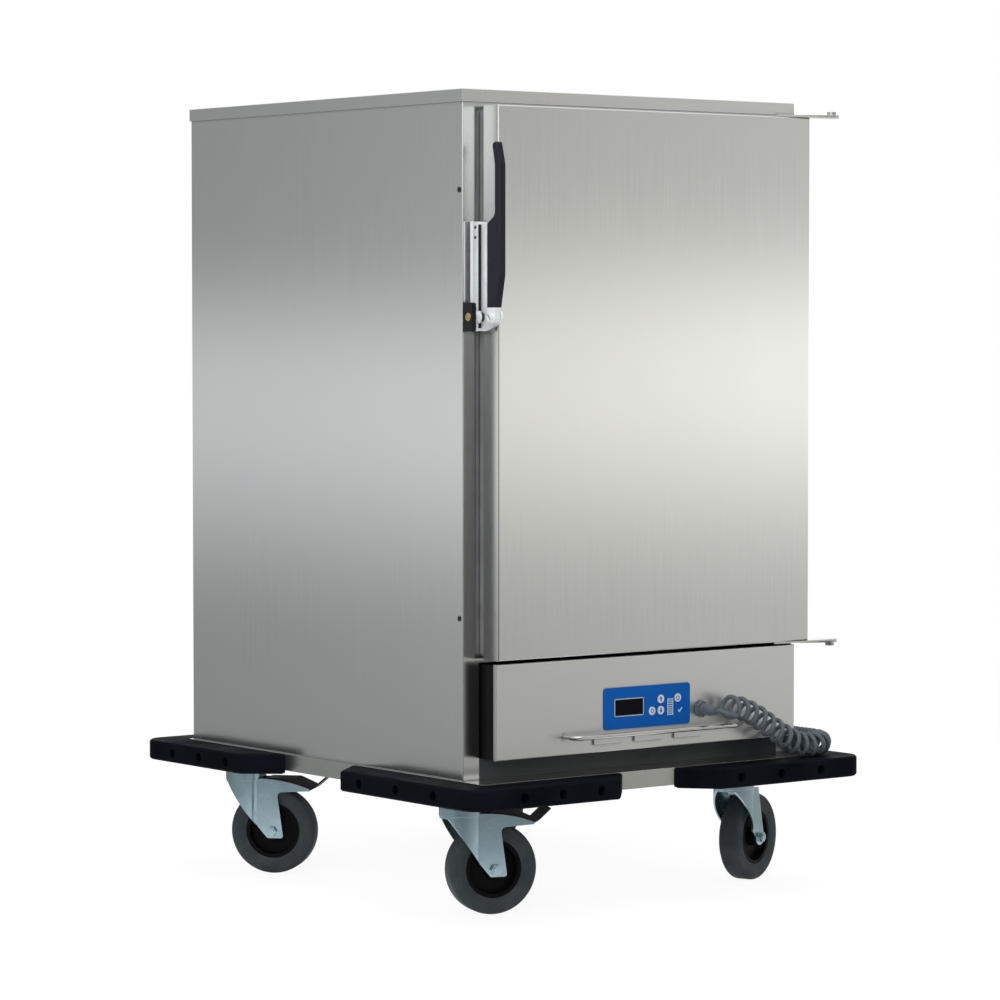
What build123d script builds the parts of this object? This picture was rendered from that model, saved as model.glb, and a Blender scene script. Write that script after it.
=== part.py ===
from build123d import *
from math import cos, pi, sin
import os

# Heated banquet cart: an insulated stainless cabinet with one door on outboard pivots, a heating
# module with controls below it, and a bumpered chassis on four swivel castors.
# X points to the right of the operator, Y away from the operator, Z up. Millimetres.
# The origin is on the floor under the middle of the bumper ring.

# Cabinet
BODY_W = 750.0
BODY_D = 840.0
BODY_H = 1179.0
SHEET = 1.2
POST_W = 35.0
REAR_FLANGE = 20.0
SIDE_BEND_R = 2.0
COVER_BAND = 22.0
COVER_OVERHANG = 2.0
COVER_SHEET = 1.5
CHAMBER_SIDE_WALL = 57.0
CHAMBER_REAR_WALL = 49.0
CHAMBER_FLOOR_WALL = 31.0
CHAMBER_CEILING_WALL = 53.0
LINER_SHEET = 1.0
FLOOR_PLATE = 1.5

# Chassis, castor rails and bumpers
CHASSIS_SIDE = 7.0
CHASSIS_FRONT = 64.0
CHASSIS_REAR = 8.0
CHASSIS_H = 30.0
CHASSIS_CORNER = 8.0
DECK_T = 2.0
RAIL_H = 44.0
RAIL_W = 112.0
RAIL_WALL = 3.0
RAIL_END_GAP = 6.0
BUMPER_OUT = 64.0
BUMPER_H = 36.0
BUMPER_DROP = 1.0
BUMPER_CORNER = 44.0
BUMPER_SOFT = 3.0
BUMPER_END_SLANT = 56.0
BUMPER_LEGS_A = (307.0, 381.0)
BUMPER_LEGS_B = (339.0, 323.0)
BUMPER_HOLE_D = 17.0
BUMPER_HOLE_DEPTH = 36.0
BUMPER_HOLES_PER_LEG = 3
BUMPER_SCREW_D = 13.0
BUMPER_SCREW_H = 8.0
BUMPER_SCREW_SOCKET = 6.0

# Castors
CASTOR_OVER = 40.0
CASTOR_INSET_X = 61.0
CASTOR_INSET_Y = 87.0
TRAIL = 55.0
WHEEL_D = 160.0
WHEEL_W = 40.0
RIM_D = 102.0
RIM_W = 34.0
RIM_WALL = 7.0
RIM_DRAFT = 2.0
WEB_T = 10.0
WEB_DRAFT = 4.0
TYRE_SIDE = 12.0
TYRE_ROUND = 9.0
HUB_R = 16.0
HUB_GAP = 1.0
AXLE_R = 6.0
AXLE_HEAD_R = 9.6
AXLE_HEAD_H = 7.0
AXLE_END = 2.0
RUN_FIT = 0.05
FORK_SHEET = 3.0
FORK_SIDE_GAP = 3.0
FORK_HEAD_R = 38.0
FORK_HEAD_H = 18.0
FORK_HEAD_EDGE = 14.0
FORK_SHELL_R = 37.0
FORK_ROOF_BACK = 46.0
FORK_LEAD_TOP = 11.5
FORK_LEAD_MID_U = -8.0
FORK_LEAD_MID_UP = 57.0
FORK_CROWN = 7.5
FORK_FOOT_DROP = 13.0
FORK_FOOT_FRONT = 8.5
FORK_FOOT_BACK = 22.0
FORK_FOOT_R = 5.0
FORK_END_R = 15.0
FORK_SHOULDER_U = 48.0
FORK_WAIST_BACK = 10.0
FORK_WAIST_UP = 73.0
FORK_WAIST_R = 8.0
FORK_ARM_BACK = 72.0
FORK_ARM_UP = 76.0
FORK_ARM_TIP = 4.0
FORK_ARM_MID_BACK = 30.0
FORK_ARM_MID_UP = 92.5
PLATE_X = 110.0
PLATE_Y = 108.0
PLATE_T = 4.0
PLATE_CORNER = 8.0
RACE_H = 7.0
RACE_FLARE = 4.0
SWIVEL_GAP = 0.5
KINGPIN_R = 8.0
KINGPIN_HEAD_R = 14.0
KINGPIN_HEAD_H = 6.0
BRAKE_PIN_FWD = 8.5
BRAKE_PIN_UP = 10.0
BRAKE_PIN_R = 3.0
BRAKE_HUB_R = 7.0
BRAKE_HEEL = 18.0
BRAKE_HEEL_T = 5.0
BRAKE_TOP = 10.0
BRAKE_FLAT = 38.0
BRAKE_ARM = 72.0
BRAKE_DROP = 5.0
BRAKE_T = 8.0
BRAKE_LIP_OUT = 22.0
BRAKE_LIP_UP = 19.0
BRAKE_LIP_T = 3.5
BRAKE_W = 44.0

# Each castor stands as in the picture: side signs, trail direction in degrees, and brake
CASTORS = {
    "front_left": (-1, -1, -18, True),
    "front_right": (1, -1, 20, False),
    "rear_left": (-1, 1, -48, True),
    "rear_right": (1, 1, 142, False),
}

# Door, gasket and hinge
DOOR_HINGE_INSET = 6.0
DOOR_T = 41.0
DOOR_EDGE_R = 2.5
GASKET_T = 13.0
GASKET_W = 18.0
GASKET_LAP = 20.0
SEAL_GAP = 0.3
HINGE_OUT = 52.0
HINGE_FWD = 48.0
HINGE_PLATE = 3.0
HINGE_GAP = 0.3
HINGE_SEAT = 0.2
HINGE_EYE_R = 13.0
HINGE_PIN_R = 5.0
HINGE_HEAD_R = 8.0
HINGE_HEAD_H = 6.0
HINGE_ARM_ON_DOOR = 80.0
HINGE_BRACKET_ON_POST = 45.0
HINGE_BRACKET_D = 8.75
GUSSET_H = 23.0
GUSSET_D = 33.0
GUSSET_INSET = 29.0

# Latch on the free edge of the door
LATCH_UP = 561.0
LATCH_L = 186.0
LATCH_STRIP_W = 24.0
LATCH_STRIP_T = 4.0
LATCH_STRIP_BEHIND = 6.0
LATCH_CHEEK = 4.0
LATCH_BULGE = 26.0
LATCH_TOP_DRAW = 6.0
LATCH_TOP_SLOPE = 3.0
LATCH_LOBE_R = 13.2
LATCH_LIP_W = 2.5
LATCH_LIP_D = 4.0
LATCH_BOSS_L = 12.0
LATCH_BOSS_WALL = 3.0
LEVER_T = 13.6
LEVER_GAP = 0.4
LEVER_FWD = 27.0
LEVER_BODY_D = 36.0
LEVER_GRIP_D = 14.5
LEVER_TOP = 297.0
LEVER_BODY_TOP = 158.0
LEVER_KINK = 71.0
LEVER_PIVOT_UP = 24.0
LEVER_PIVOT_FWD = 1.5
LEVER_BOSS_R = 11.0
LEVER_TIP_L = 40.0
LEVER_TIP_LEAN = 10.0
LEVER_TIP_W = 12.0
LEVER_TIP_R = 5.0
LEVER_STEP = 14.0
LEVER_STEP_R = 14.0
LEVER_KINK_R = 20.0
LEVER_SOFT = 1.5
LEVER_PIN_R = 4.0
LEVER_HEAD_R = 8.0
LEVER_HEAD_H = 3.0
BOLT_R = 8.5
BOLT_L = 21.0
BOLT_TRAVEL = 9.5
BOLT_FIT = 0.06
BOLT_CHAMFER = 1.5
STRIKE_H = 49.0
STRIKE_D = 26.0
STRIKE_W = 8.5
STRIKE_GAP = 2.0
STRIKE_FIT = 0.3
STRIKE_R = 4.0
STRIKE_LAP = 8.0

# Heating module and its front panel
SILL_H = 36.0
PANEL_H = 164.5
PANEL_HINGE_INSET = 34.0
PANEL_PROUD = 48.0
PANEL_SHEET = 1.5
PANEL_RETURN = 8.0
MODULE_D = 450.0
MODULE_SIDE_INSET = 7.0
MODULE_TOP_GAP = 2.0
FILM_W = 197.0
FILM_H = 73.0
FILM_T = 1.2
FILM_R = 6.0
FILM_X = -6.5
FILM_UP = 74.0
WINDOW_W = 63.0
WINDOW_H = 28.0
WINDOW_X = -47.5
WINDOW_UP = 75.0
WINDOW_FIT = 0.1
WINDOW_PROUD = 0.2
KEY_D = 15.0
KEY_T = 1.0
KEY_TRAVEL = 0.4
KEY_FIT = 0.3
KEY_BACK_GAP = 0.1
KEY_SOFT = 0.33
# Each key's middle: across from the cart's middle, and up from the panel's foot
KEYS = {
    "key_up": (25.0, 85.0),
    "key_set": (5.0, 65.0),
    "key_down": (25.0, 65.0),
    "key_power": (64.0, 85.0),
}
RAIL_ROD_R = 4.0
PULL_MID_X = -6.0
PULL_SPAN = 374.0
PULL_UP = 32.0
PULL_REACH = 36.0
PULL_BEND = 14.0
LOUVRES_X = (-97.0, -6.0, 85.0)
LOUVRE_W = 62.0
LOUVRE_H = 11.0
LOUVRE_UP = 20.0
LOUVRE_RISE = 4.0

# Curly mains cord, its gland and its plug
GLAND_X = 117.0
GLAND_UP = 62.0
GLAND_NUT_AF = 25.0
GLAND_NUT_H = 9.0
GLAND_L = 45.0
GLAND_SLEEVE_D = 21.0
GLAND_SLEEVE_L = 28.0
GLAND_MOUTH_D = 13.6
CORD_D = 8.3
COIL_D = 43.0
COIL_X0 = 150.0
COIL_UP = 66.0
COIL_FWD = 34.0
COIL_WALL_GAP = 3.0
COIL_CORNER_R = 48.0
COIL_TURNS_FRONT = 10
COIL_TURNS_CORNER = 4.5
COIL_TURNS_SIDE = 8.5
COIL_SIDE_PITCH = 10.5
COIL_REST = 0.3
LEAD_REACH = 27.0
LEAD_DROP = 6.0
TAIL_BEND = 16.5
TAIL_L = 78.0
PLUG_D = 37.0
PLUG_L = 46.0
PLUG_NECK_D = 13.0
PLUG_NECK_L = 16.0
PLUG_MOUTH_D = 10.4
PLUG_COLLAR_D = 30.0
PLUG_COLLAR_L = 8.0
PLUG_SHOULDER_L = 12.0
PLUG_PIN_D = 4.8
PLUG_PIN_L = 19.0
PLUG_PIN_GAP = 19.0

# Inside: tray racks, heater, fan and controller
RACK_PITCH = 88.0
RACK_FIRST = 75.0
RACK_ABOVE = 40.0
RACK_POST_W = 15.0
RACK_POST_D = 25.0
RACK_POST_INSET = 80.0
RUNNER_END_GAP = 55.0
RUNNER_LEDGE = 25.0
RUNNER_LEG = 15.0
RUNNER_SHEET = 1.5
HEATER_R = 4.25
HEATER_LOOP = 60.0
HEATER_TO_FAN = 12.0
HEATER_UP = 60.0
HEATER_STRAIGHT = 1.0
MOTOR_R = 40.0
MOTOR_H = 58.0
MOTOR_FOOT = 100.0
MOTOR_FOOT_T = 4.0
MOTOR_SHAFT_R = 4.0
MOTOR_EDGE_R = 5.0
FAN_BACK = 150.0
FAN_R = 80.0
FAN_H = 40.0
FAN_SHEET = 2.0
FAN_HUB_R = 12.0
FAN_HUB_H = 20.0
FAN_EYE_R = 50.0
FAN_BLADE_L = 29.0
FAN_BLADE_MID = 64.0
FAN_CLEAR = 5.0
FAN_TO_WALL = 12.0
FAN_BLADES = 12
FAN_BLADE_LEAN = 35
CONTROLLER = (120.0, 42.0, 66.0)

# Places worked out from the sizes above
CASTOR_H = WHEEL_D + CASTOR_OVER
CASTOR_X = BODY_W / 2 - CASTOR_INSET_X
CASTOR_Y = BODY_D / 2 - CASTOR_INSET_Y
CH_X = BODY_W / 2 + CHASSIS_SIDE
CH_Y = (BODY_D + CHASSIS_FRONT + CHASSIS_REAR) / 2
CHASSIS_TOP = CASTOR_H + RAIL_H + DECK_T
CHASSIS_Z0 = CHASSIS_TOP - CHASSIS_H
BUMPER_Z1 = CHASSIS_TOP - BUMPER_DROP
BODY_X = BODY_W / 2
BODY_REAR = CH_Y - CHASSIS_REAR
BODY_FRONT = BODY_REAR - BODY_D
BODY_MID = (BODY_FRONT + BODY_REAR) / 2
BODY_TOP = CHASSIS_TOP + BODY_H
SKIN_TOP = BODY_TOP - COVER_SHEET
COVER_Z0 = BODY_TOP - COVER_BAND
FLANGE_BACK = BODY_FRONT + SHEET
BACK_PANEL_Y = BODY_REAR - 2 * SHEET
HINGE_STACK = 2 * HINGE_PLATE + HINGE_GAP + HINGE_SEAT
PANEL_Z0 = CHASSIS_TOP + SILL_H
PANEL_Z1 = PANEL_Z0 + PANEL_H
FILM_Z = PANEL_Z0 + FILM_UP
WINDOW_Z = PANEL_Z0 + WINDOW_UP
PULL_Z = PANEL_Z0 + PULL_UP
LOUVRE_Z = PANEL_Z0 + LOUVRE_UP
GLAND_Z = PANEL_Z0 + GLAND_UP
COIL_Z0 = PANEL_Z0 + COIL_UP
PANEL_Y = BODY_FRONT - PANEL_PROUD
PANEL_BACK = PANEL_Y + PANEL_SHEET
FLOOR_Z = PANEL_Z1 + HINGE_SEAT
DOOR_Z0 = PANEL_Z1 + HINGE_STACK
DOOR_Z1 = COVER_Z0 - HINGE_STACK
DOOR_X0 = -BODY_X + POST_W
DOOR_X1 = BODY_X - DOOR_HINGE_INSET
PANEL_X0 = DOOR_X0
PANEL_X1 = BODY_X - PANEL_HINGE_INSET
DOOR_BACK = BODY_FRONT - GASKET_T
DOOR_FRONT = DOOR_BACK - DOOR_T
CHAMBER_X = BODY_X - CHAMBER_SIDE_WALL
CHAMBER_Z0 = PANEL_Z1 + CHAMBER_FLOOR_WALL
CHAMBER_Z1 = BODY_TOP - CHAMBER_CEILING_WALL
CHAMBER_REAR = BODY_REAR - CHAMBER_REAR_WALL
RACK_LEVELS = 1 + int((CHAMBER_Z1 - CHAMBER_Z0 - RACK_FIRST - RACK_ABOVE) // RACK_PITCH)
PIVOT_X = BODY_X + HINGE_OUT
PIVOT_Y = BODY_FRONT - HINGE_FWD
AXLE_Z = WHEEL_D / 2
BRAKE_PIN_U = TRAIL + BRAKE_PIN_FWD
BRAKE_PIN_Z = WHEEL_D + BRAKE_PIN_UP


def block(x0, x1, y0, y1, z0, z1):
    """A rectangular solid between two opposite corners."""
    return Pos((x0 + x1) / 2, (y0 + y1) / 2, (z0 + z1) / 2) * Box(x1 - x0, y1 - y0, z1 - z0)


def turned(points):
    """A solid of revolution about Z from (radius, height) points."""
    outline = Polyline(*[(r, 0, h) for r, h in points], close=True)
    return revolve(make_face(outline), Axis.Z)


def rod_y(x, z, y0, y1, radius):
    """A round bar along Y."""
    return Pos(x, (y0 + y1) / 2, z) * Rot(90, 0, 0) * Cylinder(radius, abs(y1 - y0))


def rod_x(y, z, x0, x1, radius):
    """A round bar along X."""
    return Pos((x0 + x1) / 2, y, z) * Rot(0, 90, 0) * Cylinder(radius, abs(x1 - x0))


def rod_z(x, y, z0, z1, radius):
    """A round bar along Z."""
    return Pos(x, y, (z0 + z1) / 2) * Cylinder(radius, z1 - z0)


def on_yz(x, face):
    """A face drawn in Y and Z, stood at x."""
    return Plane(origin=(x, 0, 0), x_dir=(0, 1, 0), z_dir=(1, 0, 0)) * face


def group(solids):
    """Several separate solids that share one node."""
    return Compound(children=[s for item in solids for s in item.solids()])


# Chassis: a folded deck with skirts, two box rails under it, and four corner bumpers
def make_chassis_frame():
    pan = block(-CH_X, CH_X, -CH_Y, CH_Y, CHASSIS_Z0, CHASSIS_TOP)
    pan = fillet(pan.edges().filter_by(Axis.Z), CHASSIS_CORNER)
    inner_x = CH_X - DECK_T
    inner_y = CH_Y - DECK_T
    hollow = block(-inner_x, inner_x, -inner_y, inner_y, CHASSIS_Z0, CHASSIS_TOP - DECK_T)
    hollow = fillet(hollow.edges().filter_by(Axis.Z), CHASSIS_CORNER - DECK_T)
    return pan - hollow


def make_castor_rails():
    half = CH_X - RAIL_END_GAP
    rails = []
    for side in (-1, 1):
        y = BODY_MID + side * CASTOR_Y
        outer = block(-half, half, y - RAIL_W / 2, y + RAIL_W / 2, CASTOR_H, CASTOR_H + RAIL_H)
        in_w = RAIL_W / 2 - RAIL_WALL
        bore = block(-half, half, y - in_w, y + in_w, CASTOR_H + RAIL_WALL, CASTOR_H + RAIL_H - RAIL_WALL)
        rails.append(outer - bore)
    return group(rails)


def make_bumper(side_x, side_y, legs):
    """An L-shaped corner buffer with slanted ends and recessed screw holes."""
    leg_x, leg_y = legs
    outer_x = CH_X + BUMPER_OUT
    outer_y = CH_Y + BUMPER_OUT
    corner = [
        (CH_X, CH_Y),
        (CH_X - leg_x, CH_Y),
        (CH_X - leg_x + BUMPER_END_SLANT, outer_y),
        (outer_x, outer_y),
        (outer_x, CH_Y - leg_y + BUMPER_END_SLANT),
        (CH_X, CH_Y - leg_y),
    ]
    outline = make_face(Polyline(*[(side_x * x, side_y * y) for x, y in corner], close=True))
    outer = outline.vertices().sort_by(lambda v: side_x * v.X + side_y * v.Y)[-1]
    outline = fillet([outer], BUMPER_CORNER)
    z0 = BUMPER_Z1 - BUMPER_H
    bumper = extrude(Pos(0, 0, z0) * outline, BUMPER_H, dir=(0, 0, 1))
    rims = bumper.edges().filter_by(Plane.XY)
    bumper = chamfer(rims, BUMPER_SOFT)
    recess = rod_z(0, 0, 0, BUMPER_HOLE_DEPTH, BUMPER_HOLE_D / 2)
    for place in bumper_recesses(side_x, side_y, legs):
        bumper -= place * recess
    return bumper


def bumper_recesses(side_x, side_y, legs):
    """The floor of each screw recess in a buffer, with its axis pointing out."""
    leg_x, leg_y = legs
    floor_x = CH_X + BUMPER_OUT - BUMPER_HOLE_DEPTH
    floor_y = CH_Y + BUMPER_OUT - BUMPER_HOLE_DEPTH
    z = BUMPER_Z1 - BUMPER_H / 2
    places = []
    for i in range(BUMPER_HOLES_PER_LEG):
        share = (i + 0.5) / BUMPER_HOLES_PER_LEG
        x = side_x * (CH_X - share * (leg_x - BUMPER_END_SLANT))
        y = side_y * (CH_Y - share * (leg_y - BUMPER_END_SLANT))
        places.append(Pos(x, side_y * floor_y, z) * Rot(-90 * side_y, 0, 0))
        places.append(Pos(side_x * floor_x, y, z) * Rot(0, 90 * side_x, 0))
    return places


def make_bumper_screws():
    """Socket screws on the floors of the recesses."""
    head = rod_z(0, 0, 0, BUMPER_SCREW_H, BUMPER_SCREW_D / 2)
    socket = extrude(RegularPolygon(BUMPER_SCREW_SOCKET / 2, 6, major_radius=False), BUMPER_SCREW_H / 2)
    head -= Pos(0, 0, BUMPER_SCREW_H / 2) * socket
    return group([place * head for corner in BUMPERS.values() for place in bumper_recesses(*corner)])


BUMPERS = {
    "front_left": (-1, -1, BUMPER_LEGS_A),
    "front_right": (1, -1, BUMPER_LEGS_B),
    "rear_left": (-1, 1, BUMPER_LEGS_B),
    "rear_right": (1, 1, BUMPER_LEGS_A),
}


# Castors: top plate, swivel fork with axle, wheel and brake, each made over the origin
def castor_place(name):
    side_x, side_y, angle, _ = CASTORS[name]
    return Pos(side_x * CASTOR_X, BODY_MID + side_y * CASTOR_Y, 0) * Rot(0, 0, angle)


HEAD_Z1 = CASTOR_H - PLATE_T - RACE_H - SWIVEL_GAP
HEAD_Z0 = HEAD_Z1 - FORK_HEAD_H
FORK_IN = WHEEL_W / 2 + FORK_SIDE_GAP
FORK_OUT = FORK_IN + FORK_SHEET
FORK_CREASE_U = (FORK_SHELL_R ** 2 - FORK_OUT ** 2) ** 0.5
FORK_FOOT_Z = AXLE_Z - FORK_FOOT_DROP


def make_castor_plate():
    plate = block(-PLATE_X / 2, PLATE_X / 2, -PLATE_Y / 2, PLATE_Y / 2, CASTOR_H - PLATE_T, CASTOR_H)
    plate = fillet(plate.edges().filter_by(Axis.Z), PLATE_CORNER)
    race_top = CASTOR_H - PLATE_T
    race_foot = race_top - RACE_H
    flare_r = FORK_HEAD_R + RACE_FLARE
    race = turned([(0, race_top), (flare_r, race_top), (FORK_HEAD_R, race_foot), (0, race_foot)])
    head_top = HEAD_Z0 - SWIVEL_GAP
    pin = rod_z(0, 0, head_top - KINGPIN_HEAD_H, race_top, KINGPIN_R)
    pin += rod_z(0, 0, head_top - KINGPIN_HEAD_H, head_top, KINGPIN_HEAD_R)
    return plate + race + pin


def fork_lead_cut(foot):
    """What lies under the curved front edge of the fork, as a face in U and Z."""
    top = (-FORK_SHELL_R, HEAD_Z0 + FORK_LEAD_TOP)
    edge = ThreePointArc(top, (FORK_LEAD_MID_U, AXLE_Z + FORK_LEAD_MID_UP), foot)
    left = -2 * FORK_SHELL_R
    return make_face([edge, Polyline(foot, (foot[0], 0), (left, 0), (left, top[1]), top)])


def braked_leg_outline():
    """The flat of a leg with a square foot, and an arm behind it that carries the pedal."""
    foot = (TRAIL - FORK_FOOT_FRONT, FORK_FOOT_Z)
    heel = (TRAIL + FORK_FOOT_BACK, FORK_FOOT_Z)
    waist = (TRAIL + FORK_WAIST_BACK, AXLE_Z + FORK_WAIST_UP)
    tip_u = TRAIL + FORK_ARM_BACK
    tip_low = (tip_u, AXLE_Z + FORK_ARM_UP)
    tip_top = (tip_u, AXLE_Z + FORK_ARM_UP + FORK_ARM_TIP)
    crown = (FORK_CREASE_U, HEAD_Z0 + FORK_CROWN)
    back = ThreePointArc(tip_top, (TRAIL + FORK_ARM_MID_BACK, AXLE_Z + FORK_ARM_MID_UP), crown)
    leg = make_face([Polyline(crown, (FORK_CREASE_U, FORK_FOOT_Z), heel, waist, tip_low, tip_top), back])
    leg -= fork_lead_cut(foot)
    for corner, radius in {foot: FORK_FOOT_R, heel: FORK_FOOT_R, waist: FORK_WAIST_R}.items():
        leg = fillet([leg.vertices().sort_by_distance(corner)[0]], radius)
    return leg


def plain_leg_outline():
    """The flat of a leg that tapers to a round end."""
    shoulder = (FORK_SHOULDER_U, HEAD_Z0 + FORK_SHEET)
    crown = (FORK_CREASE_U, HEAD_Z0 + FORK_SHEET)
    end = (TRAIL + FORK_END_R, AXLE_Z)
    leg = make_face(Polyline(crown, (FORK_CREASE_U, AXLE_Z), end, shoulder, close=True))
    leg -= fork_lead_cut((TRAIL - FORK_END_R, AXLE_Z))
    return leg + Pos(TRAIL, AXLE_Z) * Circle(FORK_END_R)


def make_fork(with_brake):
    """A pressed fork: a round shell under the swivel head that runs out into two flat legs, with its axle."""
    head_step = HEAD_Z1 - FORK_HEAD_EDGE
    fork = turned([(0, HEAD_Z0), (FORK_SHELL_R, HEAD_Z0), (FORK_SHELL_R, head_step), (FORK_HEAD_R, head_step),
                   (FORK_HEAD_R, HEAD_Z1), (0, HEAD_Z1)])
    fork += block(0, FORK_ROOF_BACK, -FORK_OUT, FORK_OUT, HEAD_Z0, HEAD_Z0 + FORK_SHEET)
    shell = rod_z(0, 0, FORK_FOOT_Z, HEAD_Z0, FORK_SHELL_R)
    shell -= rod_z(0, 0, FORK_FOOT_Z, HEAD_Z0, FORK_SHELL_R - FORK_SHEET)
    shell -= block(FORK_CREASE_U, FORK_SHELL_R, -FORK_SHELL_R, FORK_SHELL_R, FORK_FOOT_Z, HEAD_Z0)
    foot = (TRAIL - FORK_FOOT_FRONT, FORK_FOOT_Z) if with_brake else (TRAIL - FORK_END_R, AXLE_Z)
    fork += shell - extrude(Plane.XZ * fork_lead_cut(foot), FORK_HEAD_R, both=True)
    outline = Plane.XZ * (braked_leg_outline() if with_brake else plain_leg_outline())
    for side in (-1, 1):
        fork += extrude(Pos(0, side * (FORK_IN + FORK_OUT) / 2, 0) * outline, FORK_SHEET / 2, both=True)
    fork -= rod_z(0, 0, HEAD_Z0, HEAD_Z1, KINGPIN_R + RUN_FIT)
    fork -= rod_y(TRAIL, AXLE_Z, -FORK_OUT, FORK_OUT, AXLE_R)
    if with_brake:
        fork += rod_y(BRAKE_PIN_U, BRAKE_PIN_Z, -FORK_OUT, FORK_OUT, BRAKE_PIN_R)
    reach = FORK_OUT + AXLE_HEAD_H + AXLE_END
    axle = rod_y(TRAIL, AXLE_Z, -reach, reach, AXLE_R)
    hexagon = Plane.XZ * RegularPolygon(AXLE_HEAD_R, 6)
    for side in (-1, 1):
        middle = side * (FORK_OUT + AXLE_HEAD_H / 2)
        axle += extrude(Pos(TRAIL, middle, AXLE_Z) * hexagon, AXLE_HEAD_H / 2, both=True)
    return group([fork, axle])


def make_wheel():
    """The moulded centre: hub, web with a rim ring, and a bore that runs on the axle."""
    half = WHEEL_W / 2 + FORK_SIDE_GAP - HUB_GAP
    rim_r = RIM_D / 2
    one_side = [
        (AXLE_R + RUN_FIT, half),
        (HUB_R, half),
        (HUB_R + RIM_DRAFT, (WEB_T + WEB_DRAFT) / 2),
        (rim_r - RIM_WALL - RIM_DRAFT, WEB_T / 2),
        (rim_r - RIM_WALL, RIM_W / 2),
        (rim_r, RIM_W / 2),
    ]
    other_side = [(r, -h) for r, h in reversed(one_side)]
    return Pos(TRAIL, 0, AXLE_Z) * Rot(90, 0, 0) * turned(one_side + other_side)


def make_tyre():
    half = WHEEL_W / 2
    rim_r = RIM_D / 2
    outline = make_face(
        Polyline((rim_r, 0, -RIM_W / 2), (rim_r + TYRE_SIDE, 0, -half), (WHEEL_D / 2, 0, -half),
                 (WHEEL_D / 2, 0, half), (rim_r + TYRE_SIDE, 0, half), (rim_r, 0, RIM_W / 2), close=True)
    )
    tread = outline.vertices().group_by(Axis.X)[-1]
    tyre = revolve(fillet(tread, TYRE_ROUND), Axis.Z)
    return Pos(TRAIL, 0, AXLE_Z) * Rot(90, 0, 0) * tyre


def make_brake():
    """A foot pedal on the fork's brake pin, sloping down behind it to a lip that turns up."""
    u = BRAKE_PIN_U
    z = BRAKE_PIN_Z
    tip = Vector(u + BRAKE_ARM, z - BRAKE_DROP)
    lip = tip + Vector(BRAKE_LIP_OUT, BRAKE_LIP_UP)
    under = Vector(BRAKE_LIP_UP, -BRAKE_LIP_OUT).normalized() * BRAKE_LIP_T
    outline = Polyline(
        (u - BRAKE_HEEL, z + BRAKE_TOP), (u + BRAKE_FLAT, z + BRAKE_TOP), tip, lip, lip + under, tip + under,
        tip - Vector(BRAKE_T, BRAKE_T), (u, z - BRAKE_HUB_R), (u - BRAKE_HUB_R, z),
        (u - BRAKE_HEEL, z + BRAKE_TOP - BRAKE_HEEL_T), close=True,
    )
    pedal = extrude(Plane.XZ * make_face(outline), BRAKE_W / 2, both=True)
    pedal += rod_y(u, z, -BRAKE_W / 2, BRAKE_W / 2, BRAKE_HUB_R)
    return pedal - rod_y(u, z, -BRAKE_W / 2, BRAKE_W / 2, BRAKE_PIN_R + RUN_FIT)


# Cabinet skins: folded sides with front and rear flanges, back, cover and the two front cross members
def make_side(side):
    x = side * BODY_X
    sheet = sorted((x, side * (BODY_X - SHEET)))
    post = sorted((x, side * (BODY_X - POST_W)))
    face = sorted((x, side * CHAMBER_X))
    rear = sorted((x, side * (BODY_X - REAR_FLANGE)))
    wall = block(*sheet, BODY_FRONT, BODY_REAR, CHASSIS_TOP, SKIN_TOP)
    wall += block(*post, BODY_FRONT, FLANGE_BACK, CHASSIS_TOP, FLOOR_Z)
    wall += block(*face, BODY_FRONT, FLANGE_BACK, FLOOR_Z, SKIN_TOP)
    wall += block(*rear, BODY_REAR - SHEET, BODY_REAR, CHASSIS_TOP, SKIN_TOP)
    folds = wall.edges().filter_by(Axis.Z).group_by(Axis.X)[-1 if side > 0 else 0]
    return fillet(folds, SIDE_BEND_R)


def make_back_panel():
    half = BODY_X - SHEET
    return block(-half, half, BACK_PANEL_Y, BACK_PANEL_Y + SHEET, CHASSIS_TOP, SKIN_TOP)


def make_top_cover():
    x = BODY_X + COVER_OVERHANG
    y0 = BODY_FRONT - COVER_OVERHANG
    y1 = BODY_REAR + COVER_OVERHANG
    cap = block(-x, x, y0, y1, COVER_Z0, BODY_TOP)
    cap = fillet(cap.edges().group_by(Axis.Z)[-1], COVER_SHEET)
    inside = x - COVER_SHEET
    return cap - block(-inside, inside, y0 + COVER_SHEET, y1 - COVER_SHEET, COVER_Z0, SKIN_TOP)


def make_front_rails():
    header = block(-CHAMBER_X, CHAMBER_X, BODY_FRONT, FLANGE_BACK, CHAMBER_Z1, SKIN_TOP)
    cross = block(-CHAMBER_X, CHAMBER_X, BODY_FRONT, FLANGE_BACK, FLOOR_Z, CHAMBER_Z0)
    return group([header, cross])


def liner_box(grow):
    x = CHAMBER_X + grow
    return block(-x, x, FLANGE_BACK, CHAMBER_REAR + grow, CHAMBER_Z0 - grow, CHAMBER_Z1 + grow)


def make_inner_liner():
    return liner_box(LINER_SHEET) - liner_box(0)


def make_body_floor():
    half = BODY_X - SHEET
    return block(-half, half, FLANGE_BACK, BACK_PANEL_Y, FLOOR_Z, FLOOR_Z + FLOOR_PLATE)


def make_insulation():
    half = BODY_X - SHEET
    foam = block(-half, half, FLANGE_BACK, BACK_PANEL_Y, FLOOR_Z + FLOOR_PLATE, SKIN_TOP)
    return foam - liner_box(LINER_SHEET)


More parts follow.
